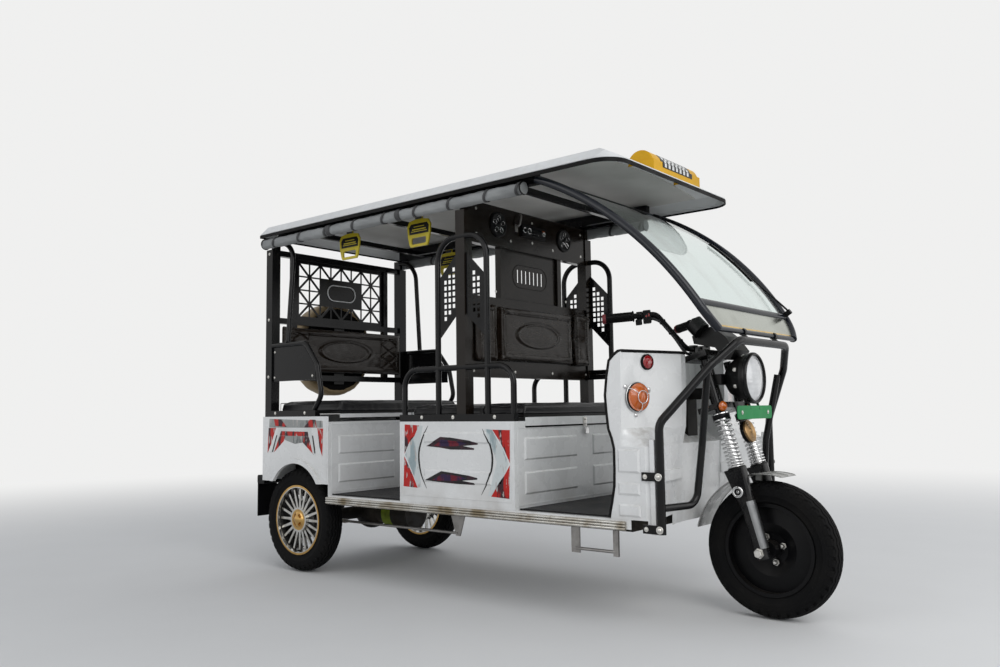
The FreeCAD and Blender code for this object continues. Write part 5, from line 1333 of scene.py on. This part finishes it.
def make_box_trim():
    half = 0.418
    # name, face, way it faces, lowest height, edge height, highest height
    for name, face, way, low, edge, high in (("rear", -0.7875, 1, 0.744, 0.750, 0.768),
                                             ("driver", 0.3445, 1, 0.704, 0.712, 0.745),
                                             ("bench", -0.2985, -1, 0.704, 0.712, 0.745)):
        with part(name + "_lid_fascia", "white", name + "_seat") as bm:
            add_box(bm, (face, -half, edge), (face + way * 0.0022, half, high), 0.0007)
            add_box(bm, (face, -half, edge - 0.001), (face + way * 0.0035, half, edge + 0.0015), 0.0005)
        # a black strip under each fascia: painted shadow of the gap below the lid
        with part(name + "_lid_gap_shadow_strip", "trim", name + "_seat") as bm:
            add_box(bm, (face, -half, low), (face + way * 0.0030, half, edge - 0.0015), 0.0008)
    # hasp and padlock on the driver's box
    with part("box_hasp", "zinc", "driver_seat") as bm:
        add_box(bm, (0.3470, -0.014, 0.700), (0.3490, 0.014, 0.740), 0.0008)
        add_lathe(bm, [(0, 0.0045), (0.004, 0.0045), (0.006, 0.003), (0.006, 0)],
                  (0.3488, 0, 0.731), ahead, 12)
    with part("box_padlock", "chrome", "driver_seat", slot="bright_steel") as bm:
        add_box(bm, (0.3500, -0.013, 0.668), (0.3600, 0.013, 0.695), 0.003)
    with part("box_padlock_shackle", "chrome", "driver_seat", slot="bright_steel") as bm:
        path = ((-0.0085, 0.692), (-0.0085, 0.706), (0.0, 0.7135), (0.0085, 0.706), (0.0085, 0.692))
        add_tube(bm, curve_points([(0.355, y, z) for y, z in path], 16), 0.0021, 8)
    # bolts along the rails, on both sides
    with part("rail_bolts", "zinc") as bm:
        for side, _ in sides:
            for x, z in ((-0.162, 0.748), (0.020, 0.748), (0.246, 0.748), (-1.202, 0.774), (-0.965, 0.774)):
                add_bolt(bm, (x, side * 0.490, z), (0, side, 0), 0.0048, 0.0080)
    # folded seams round the wall panels and beads along the edges of the side panels
    with part("folded_panel_seams", "white") as bm:
        for face, way in ((-0.787, 1), (0.344, 1), (-0.298, -1)):
            top = 0.700 if face > -0.5 else 0.716
            add_border(bm, (face, face + way * 0.0016), (-0.470, 0.470), (0.398, top + 0.005), 0.006, 0.0006,
                       top_width=0.005)
        for side, _ in sides:
            for x0, x1, z0, z1 in ((-0.285, 0.331, 0.4135, 0.4175), (-0.285, -0.2815, 0.4175, 0.722),
                                   (0.3275, 0.331, 0.4175, 0.722), (-0.800, -0.797, 0.4400, 0.750)):
                add_box(bm, (x0, side * 0.490, z0), (x1, side * 0.4916, z1), 0.0006)
    # blank plate on the tail, with its bolts
    with part("rear_number_plate_blank", "plate") as bm:
        add_box(bm, (-1.3080, -0.150, 0.545), (-1.3055, 0.150, 0.645), 0.0010)
    with part("rear_plate_bolts", "zinc") as bm:
        for side, _ in sides:
            add_bolt(bm, (-1.3080, side * 0.120, 0.595), -ahead, 0.0045, 0.008)


# Front shield, guard and handlebar details

shield_face = Vector((0.956, -0.292, 0)).normalized()
lamp_centre = Vector((0.858, -0.421, 0.815))


def make_lamp_guards():
    """A chrome wire guard and a rim over each side lamp."""
    up = Vector((0, 0, 1))
    aside = shield_face.cross(up).normalized()

    def spot(angle, radius, lift):
        return lamp_centre + shield_face * lift + (aside * math.cos(angle) + up * math.sin(angle)) * radius

    with part("side_lamp_wire_guards", "chrome", smooth=50, both_sides=True) as bm:
        for count, radius, lift, thick in ((48, 0.0535, 0.006, 0.0018), (32, 0.0225, 0.0345, 0.0016)):
            add_tube(bm, [spot(angle, radius, lift) for angle in circle(count)], thick, 8, closed=True)
        for turn in (35, 155, 275):
            angle = math.radians(turn)
            leg = [spot(angle, radius, lift) for radius, lift in ((0.0535, 0.006), (0.0500, 0.022),
                                                                  (0.0400, 0.0315), (0.0225, 0.0345))]
            add_tube(bm, curve_points(leg, 12), 0.0016, 8)
            add_tube(bm, [leg[0], spot(angle, 0.0640, 0.003)], 0.0018, 8)
            add_lathe(bm, [(0.0, 0.0068), (0.0035, 0.0066), (0.0050, 0.0045), (0.0058, 0.0)],
                      spot(angle, 0.0655, 0.0005), shield_face, 16)
    make_turned("side_lamp_rims", "black_plastic",
                [(0.0, 0.0505), (0.0, 0.0522), (0.010, 0.0520), (0.0135, 0.0512), (0.0135, 0.0480)],
                lamp_centre, shield_face, 56, smooth=50, both_sides=True)


def make_shield_trim():
    # black rubber round the shield's rear and top edges
    edge = [(x, -0.4885, z) for x, z in (
        (0.775, 0.390), (0.787, 0.440), (0.7985, 0.500), (0.8005, 0.560), (0.8005, 0.632), (0.792, 0.668),
        (0.779, 0.702), (0.772, 0.765), (0.768, 0.823), (0.776, 0.890), (0.787, 0.948), (0.808, 0.9685))]
    edge.append((0.826, -0.4880, 0.9805))
    edge += [(x, y, 0.9815) for x, y in ((0.838, -0.4860), (0.854, -0.4310), (0.871, -0.3710),
                                         (0.894, -0.3010), (0.922, -0.2020), (0.922, -0.1660))]
    with part("shield_edge_rubber", "trim", smooth=60, both_sides=True) as bm:
        add_tube(bm, edge, 0.0058, 10)
    make_lamp_guards()
    # red reflectors near the shield's top corners
    place = Vector((0.8725, -0.369, 0.9430))
    make_turned("red_reflector_rims", "trim",
                [(-0.002, 0.0290), (0.007, 0.0290), (0.0095, 0.0275), (0.0095, 0.0245), (0.006, 0.0240)],
                place, shield_face, 40, smooth=50, both_sides=True)
    make_turned("red_reflectors", "red_lens",
                [(0.004, 0.0243), (0.0085, 0.0240), (0.0105, 0.0200), (0.0120, 0.0100), (0.0123, 0)],
                place, shield_face, 40, smooth=50, both_sides=True)
    # upright corner strips, and the strip and seams on the wall between the guard's legs
    wall = ((0.9505, -0.4780), (0.9265, -0.3600), (0.8985, -0.2000), (0.8935, -0.1650))
    with part("shield_wall_strips", "white", smooth=35, both_sides=True) as bm:
        add_box(bm, (0.9430, -0.4895, 0.3400), (0.9610, -0.4730, 0.6650), 0.0015)
        for low, high, reach in ((0.510, 0.550, 0.0060), (0.640, 0.648, 0.0035)):
            outline = ((-0.002, low), (reach, low + 0.0015), (reach, high - 0.0015), (-0.002, high))
            bridge(bm, [[bm.verts.new((x + out, y, z)) for out, z in outline] for x, y in wall],
                   around=False, capped=True)
    # bolts with wide washers through the guard's legs
    with part("guard_bolts", "zinc", both_sides=True) as bm:
        for z in (0.358, 0.538):
            add_lathe(bm, [(-0.001, 0.0135), (0.0015, 0.0135), (0.0022, 0.0128), (0.0022, 0.0085),
                           (0.0045, 0.0085), (0.0070, 0.0070), (0.0085, 0.0040), (0.0088, 0)],
                      (0.978, -0.4940, z), (0, -1, 0), 28)
            add_bolt(bm, (0.926, -0.4940, z), (0, -1, 0), 0.0050, 0.0085)
    # gold lines along the chin's lower edge
    tilt = Matrix.Rotation(math.radians(28), 4, "Y").inverted()
    with part("chin_gold_lines", "gold") as bm:
        for z, half, tall in ((0.012, 0.331, 0.0028), (0.0205, 0.333, 0.0010)):
            centre = Vector((1.1512, 0, 1.050)) + Vector((-0.469, 0, 0.883)) * z
            turn = Matrix.Translation(centre) @ tilt
            add_box(bm, (-0.0006, -half, -tall), (0.0016, half, tall), 0.0005, turn)


def make_hand_controls():
    for side, name in sides:
        end, corner = Vector((0.651, side * 0.303, 1.122)), Vector((0.818, side * 0.190, 1.137))
        along = (corner - end).normalized()
        profile = [(0.008, 0.0165), (0.008, 0.0180)]
        for index in range(17):
            start = 0.012 + index * 0.0058
            profile += [(start, 0.0188), (start + 0.0036, 0.0188), (start + 0.0042, 0.0177),
                        (start + 0.0053, 0.0177)]
        profile += [(0.1130, 0.0215), (0.1165, 0.0215), (0.1165, 0.0165)]
        make_turned("ribbed_grip_" + name, "grip", profile, end, along, 28, "steering", 35)
        make_turned("grip_end_ring_" + name, "red_rubber",
                    [(-0.0055, 0.0), (-0.0055, 0.0150), (-0.0035, 0.0190), (0.0060, 0.0195),
                     (0.0080, 0.0180)], end, along, 28, "steering")
        # switch box round the bar, with its buttons and a skirt below
        turn = Matrix.Translation(end) @ along.to_track_quat("X", "Z").to_matrix().to_4x4()
        with part("switch_box_" + name, "black_plastic", "steering") as bm:
            add_box(bm, (0.152, -0.0170, -0.0330), (0.182, 0.0170, 0.0185), 0.005, turn)
            add_box(bm, (0.122, -0.0125, -0.0360), (0.146, 0.0125, -0.0140), 0.004, turn)
        with part("switch_buttons_" + name, "red_lens" if side < 0 else "line_film", "steering",
                  slot="red_plastic") as bm:
            add_box(bm, (0.160, -0.0210, -0.0100), (0.166, -0.0160, -0.0020), 0.001, turn)
            add_box(bm, (0.170, -0.0210, -0.0080), (0.176, -0.0160, 0.0040), 0.001, turn)
        # wiring sleeve that hugs the bar from the switch box to the clamps, and its ties
        places = [end + along * 0.184 + Vector((0, 0, -0.017))]
        places += [(x, side * y, z) for x, y, z in ((0.812, 0.196, 1.1185), (0.836, 0.172, 1.1010),
                                                    (0.866, 0.134, 1.0450), (0.8905, 0.098, 0.9890),
                                                    (0.8945, 0.060, 0.9850))]
        with part("bar_wiring_sleeve_" + name, "strap", "steering", 50) as bm:
            add_tube(bm, curve_points(places, 36), 0.0058, 10)
        low_end = Vector((0.893, side * 0.095, 1.004))
        with part("bar_ties_" + name, "black_plastic", "steering") as bm:
            for share in (0.22, 0.52, 0.80):
                add_lathe(bm, [(-0.003, 0.0112), (-0.003, 0.0132), (0.003, 0.0132), (0.003, 0.0112)],
                          corner.lerp(low_end, share), low_end - corner, 20)


def make_fork_details():
    # satin covers on the front of the lower legs, and bright ring bosses
    for side, name in sides:
        outline = [(0.0022, angle) for angle in sweep(-32, 72, 12)]
        outline += [(-0.0010, angle) for angle in sweep(72, -32, 12)]
        with part("fork_leg_cover_" + name, "fork_cover", "steering") as bm:
            rows = []
            for step in range(17):
                share = step / 16
                middle, radius = fork_point(0.262 + 0.166 * share, side * fork_leg_y), 0.0258 + 0.0020 * share
                rows.append([bm.verts.new(middle + round_fork(angle, side) * (radius + lift))
                             for lift, angle in outline])
            bridge(bm, rows, capped=True)
        spot = fork_point(0.464, side * (fork_leg_y + 0.024)) - ahead * 0.012
        with part("fork_ring_boss_" + name, "chrome", "steering", 50) as bm:
            add_lathe(bm, [(0.001, 0.0212), (0.0062, 0.0210), (0.0074, 0.0195), (0.0074, 0.0145),
                           (0.0062, 0.0128), (0.001, 0.0126)], spot, (0, side, 0), 40)
            add_lathe(bm, [(0.001, 0.0060), (0.0035, 0.0055), (0.0045, 0.0)], spot, (0, side, 0), 6)
    with part("headlamp_bowl_screws", "zinc", "steering") as bm:
        for angle, x, radius in ((200, 1.085, 0.0900), (160, 1.085, 0.0900), (245, 1.100, 0.0935),
                                 (20, 1.085, 0.0900), (-20, 1.085, 0.0900), (115, 1.100, 0.0935)):
            out = round_x(math.radians(angle))
            add_bolt(bm, Vector((x, 0, 0.883)) + out * radius, out, 0.0050, 0.0075)
    # ringed face on the horn
    make_turned("horn_ringed_face", "bronze",
                [(-0.006, 0.0425), (-0.004, 0.0432), (0.0015, 0.0432), (0.0035, 0.0410), (0.0020, 0.0370),
                 (0.0040, 0.0330), (0.0020, 0.0290), (0.0045, 0.0240), (0.0025, 0.0190), (0.0050, 0.0140),
                 (0.0030, 0.0100), (0.0085, 0.0060), (0.0090, 0)],
                (1.0997, 0, 0.6832), (0.9613, 0, 0.2756), 44, "steering", 45)
    # rolled edges and a crease along the mudguard
    with part("mudguard_rolled_edges", "silver", "steering", 50) as bm:
        for y, radius, thick in ((-0.0650, 0.2775, 0.0028), (0.0650, 0.2775, 0.0028), (0.0, 0.2785, 0.0030)):
            centre = front_axle + Vector((0, y, 0))
            add_tube(bm, [centre + round_y(angle) * radius for angle in sweep(76, 165, 40)], thick, 8)
    with part("mudguard_bolts", "zinc", "steering") as bm:
        for side, _ in sides:
            for z in (0.470, 0.505):
                add_bolt(bm, fork_point(z, side * 0.0655), (0, side, 0), 0.0050, 0.0085)


# Partition, roof and rear details

def make_header_details():
    """Speakers and the radio's front on the header plate."""
    with part("speaker_bright_loops", "chrome", smooth=50) as rings, \
            part("speaker_grilles", "black_plastic", smooth=45) as plates:
        for side, _ in sides:
            centre = Vector((0.0822, side * 0.250, 1.590))
            add_lathe(plates, [(-0.001, 0.0545), (0.0022, 0.0540), (0.0032, 0.0500), (0.0030, 0.0460),
                               (0.0016, 0.0440), (0.0020, 0.0150), (0.0052, 0.0120), (0.0060, 0)],
                      centre, ahead, 44)
            for petal in range(5):
                angle = math.radians(90 + 72 * petal)
                out, across = round_x(angle), round_x(angle + math.pi / 2)
                middle = centre + ahead * 0.0034 + out * 0.0285
                add_tube(rings, [middle + out * (0.0125 * math.cos(turn)) + across * (0.0090 * math.sin(turn))
                                 for turn in circle(20)], 0.0015, 6, closed=True)
    # radio front: window, ring knobs and keys
    with part("radio_window_and_keys", "glossy_black") as bm:
        add_box(bm, (0.0905, -0.018, 1.586), (0.0922, 0.052, 1.607), 0.0006)
        for index in range(5):
            y = -0.016 + index * 0.0145
            add_box(bm, (0.0905, y, 1.570), (0.0926, y + 0.0105, 1.578), 0.0008)
    with part("radio_bright_rings", "chrome") as bm:
        for y, radius in ((-0.072, 0.0125), (-0.038, 0.0140), (0.072, 0.0100)):
            add_lathe(bm, [(0.0, radius), (0.0022, radius), (0.0028, radius - 0.0012),
                           (0.0022, radius - 0.003), (0.0006, radius - 0.0035)],
                      (0.0908, y, 1.592), ahead, 28)
        for y in (-0.030, 0.000, 0.030):
            add_lathe(bm, [(0, 0.0016), (0.0016, 0.0016), (0.0020, 0)], (0.0908, y, 1.5815), ahead, 10)
    with part("radio_orange_marker", "amber") as bm:
        add_box(bm, (0.0905, 0.062, 1.602), (0.0920, 0.078, 1.607), 0.0006)


def make_partition_details():
    # a hook beside the radio, header bolts, and studs between the pads
    with part("header_hook", "grey_steel") as bm:
        add_tube(bm, curve_points([(0.078, -0.118, 1.600), (0.094, -0.118, 1.606), (0.098, -0.112, 1.630),
                                   (0.096, -0.104, 1.652), (0.088, -0.100, 1.658)], 16), 0.0045, 10)
        add_box(bm, (0.0768, -0.128, 1.578), (0.0800, -0.108, 1.612), 0.001)
    header_bolts = ((0.000, 1.637), (0.000, 1.543), (0.395, 1.640), (0.395, 1.530), (-0.395, 1.640),
                    (-0.395, 1.530), (-0.160, 1.530), (0.160, 1.530))
    frame_bolts = ((-0.265, 1.292), (0.265, 1.292))
    seat_bolts = ((-0.420, 0.942), (0.420, 0.942), (-0.140, 0.942), (0.140, 0.942))
    with part("partition_bolts", "zinc") as bm:
        for x, places in ((0.0770, header_bolts), (0.0731, frame_bolts), (0.0762, seat_bolts)):
            for y, z in places:
                add_bolt(bm, (x, y, z), ahead, 0.0040, 0.0062, 0.0030)
    with part("back_pad_hinge_studs", "chrome") as bm:
        for side, _ in sides:
            y = side * 0.2835
            for z in (1.030, 1.185):
                add_tube(bm, [(0.084, y, z - 0.010), (0.084, y, z), (0.084, y, z + 0.010)], 0.0042, 12)
                add_box(bm, (0.0755, y - 0.003, z - 0.004), (0.084, y + 0.003, z + 0.004), 0.0008)
    # folded lips round the centre panel and the header
    with part("partition_folded_lips", "pressed") as bm:
        add_border(bm, (0.0595, 0.0625), (-0.196, 0.196), (1.269, 1.488), 0.0045, 0.0008)
        for z in (1.4905, 1.6665):
            add_box(bm, (0.0765, -0.429, z), (0.0795, 0.429, z + 0.0040), 0.0008)
        add_rounded_loop(bm, 0.0605, (-0.128, 0.128), (1.328, 1.432), 0.050, 0.0016)


def make_handle_fields():
    """Blank dark fields in the hanging handles, with plain bars, and straps that hold them."""
    top, half_width = 1.664, 0.075
    # a field's corners: share of the half width, and distance below the top
    corners = ((-0.81, 0.0765), (0.81, 0.0765), (0.85, 0.043), (0.68, 0.0275), (-0.68, 0.0275),
               (-0.85, 0.043))
    bars = ((0.0620, 0.0655, 0.050), (0.0520, 0.0575, 0.044), (0.0400, 0.0435, 0.034))
    with part("handle_neck_straps", "strap", smooth=30) as strap, \
            part("handle_plain_bars", "yellow_plastic", smooth=30) as bright, \
            part("handle_dark_fields", "black_film", smooth=30, slot="black_plastic") as dark:
        for x in (-0.7827, -0.30075):
            for side, _ in sides:
                for way in (-1, 1):
                    y = side * 0.360 + way * 0.0020
                    add_prism(dark, *([(x + half_width * share, y + way * lift, top - drop)
                                       for share, drop in corners] for lift in (0.0004, -0.0002)))
                    for low, high, half in bars:
                        add_box(bright, (x - half, y + way * 0.0002, top - high),
                                (x + half, y + way * 0.0009, top - low), 0.0002)
                add_box(strap, (x - 0.021, side * 0.360 - 0.0052, top - 0.0085),
                        (x + 0.021, side * 0.360 + 0.0052, top + 0.006), 0.0015)


def curved_block(bm, centre, inner, outer, angles, ends):
    """A block between two radii round a level axis along Y, over a list of angles."""
    outline = ((ends[0], inner), (ends[0], outer), (ends[1], outer), (ends[1], inner))
    bridge(bm, [wheel_row(bm, centre, angle, outline) for angle in angles], capped=True)


def make_sign_checks():
    """A dark field over the sign's front with a plain check band on it, and its end discs."""
    size, turn = 0.0155, 15.2
    with part("sign_plain_checks", "line_film", smooth=30) as checks, \
            part("sign_dark_field", "black_film", smooth=30) as field:
        # half width, lowest and highest angle: together they round the field's upper corners
        for half, low, high in ((0.125, 12, 50), (0.119, 50, 57), (0.108, 57, 63)):
            curved_block(field, sign_centre, 0.0572, 0.0590, sweep(low, high, 9), (-half, half))
        add_box(field, (0.8310, -0.125, 1.7310), (0.8332, 0.125, 1.7522), 0.0002)
        for column in range(-7, 7):
            ends = (column * size, (column + 1) * size)
            for row in range(2):
                if (row + column) % 2 == 0:
                    low = 14 + row * turn
                    curved_block(checks, sign_centre, 0.0585, 0.0594, sweep(low, low + turn, 3), ends)
            if column % 2:
                add_box(checks, (0.8325, ends[0], 1.7350), (0.8336, ends[1], 1.7505), 0.0002)
    with part("sign_end_discs", "sign") as bm:
        for side, _ in sides:
            add_lathe(bm, [(-0.0010, 0.0560), (0.0012, 0.0552), (0.0020, 0.0520), (0.0014, 0.0490),
                           (0.0016, 0.0)], sign_centre + Vector((0, side * 0.190, 0)), (0, side, 0), 40)
            bmesh.ops.delete(bm, geom=[v for v in bm.verts if v.co.z < 1.735], context="VERTS")


def make_rear_details():
    # plain oval ring where the lattice carries a badge
    with part("lattice_oval_ring", "white", smooth=50, slot="white_plastic") as bm:
        add_rounded_loop(bm, -1.2745, (-0.098, 0.098), (1.392, 1.478), 0.042, 0.0032)
    # bolts on the rear posts, the tail and the armrests
    with part("rear_frame_bolts", "zinc") as bm:
        for side, _ in sides:
            for z in (0.960, 1.255, 1.600):
                add_bolt(bm, (-1.3020, side * 0.455, z), -ahead, 0.0050, 0.0085)
                add_bolt(bm, (-1.277, side * 0.480, z), (0, side, 0), 0.0045, 0.0075)
            for z in (0.640, 0.560, 0.470):
                add_bolt(bm, (-1.3050, side * 0.440, z), -ahead, 0.0045, 0.0075)
            for x, z in ((-1.235, 0.955), (-0.930, 0.955), (-1.235, 1.085)):
                add_bolt(bm, (x, side * 0.4715, z), (0, side, 0), 0.0038, 0.0062)
    with part("tail_panel_seams", "white") as bm:
        add_border(bm, (-1.3065, -1.3045), (-0.470, 0.470), (0.455, 0.730), 0.005, 0.0006)
    # chrome frame and two moulded dividers on each tail lamp
    (lamp_face, _, low), (_, reach, high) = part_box("tail_lamps")
    for side, name in sides:
        y0, y1 = sorted((side * (reach - tail_lamp_width), side * reach))
        with part("tail_lamp_frame_" + name, "chrome", smooth=50) as bm:
            add_rounded_loop(bm, lamp_face + 0.002, (y0 + 0.003, y1 - 0.003), (low + 0.003, high - 0.003),
                             0.008, 0.0032, spacing=0.02, steps=5)
            for share in (0.36, 0.68):
                y = y0 + share * (y1 - y0)
                add_box(bm, (lamp_face - 0.0012, y - 0.0016, low + 0.004),
                        (lamp_face + 0.003, y + 0.0016, high - 0.004), 0.0006)


def make_mat_edges():
    """Rubber lips round the floor mats, and a bead under each long edge of the roof."""
    with part("floor_mat_lips", "trim", slot="mat_rubber") as bm:
        for low, high in ((-0.781, -0.304), (0.350, 0.790)):
            for side, _ in sides:
                add_box(bm, (low, side * 0.4640, 0.3885), (high, side * 0.4685, 0.3915), 0.0010)
    with part("roof_flange_beads", "white_roof", smooth=50) as bm:
        for side, _ in sides:
            add_tube(bm, [(x, side * 0.5050, 1.7035) for x in (-1.230, -0.6, 0.0, 0.730)], 0.0016, 8)


dress_all_nodes()
for make in (make_camera, make_studio, make_wheels, make_springs, make_headlamp, make_front_plate,
             make_soft_goods, make_rolls, make_spare, make_stickers, make_box_trim, make_shield_trim,
             make_hand_controls, make_fork_details, make_header_details, make_partition_details,
             make_handle_fields, make_sign_checks, make_rear_details, make_mat_edges):
    make()
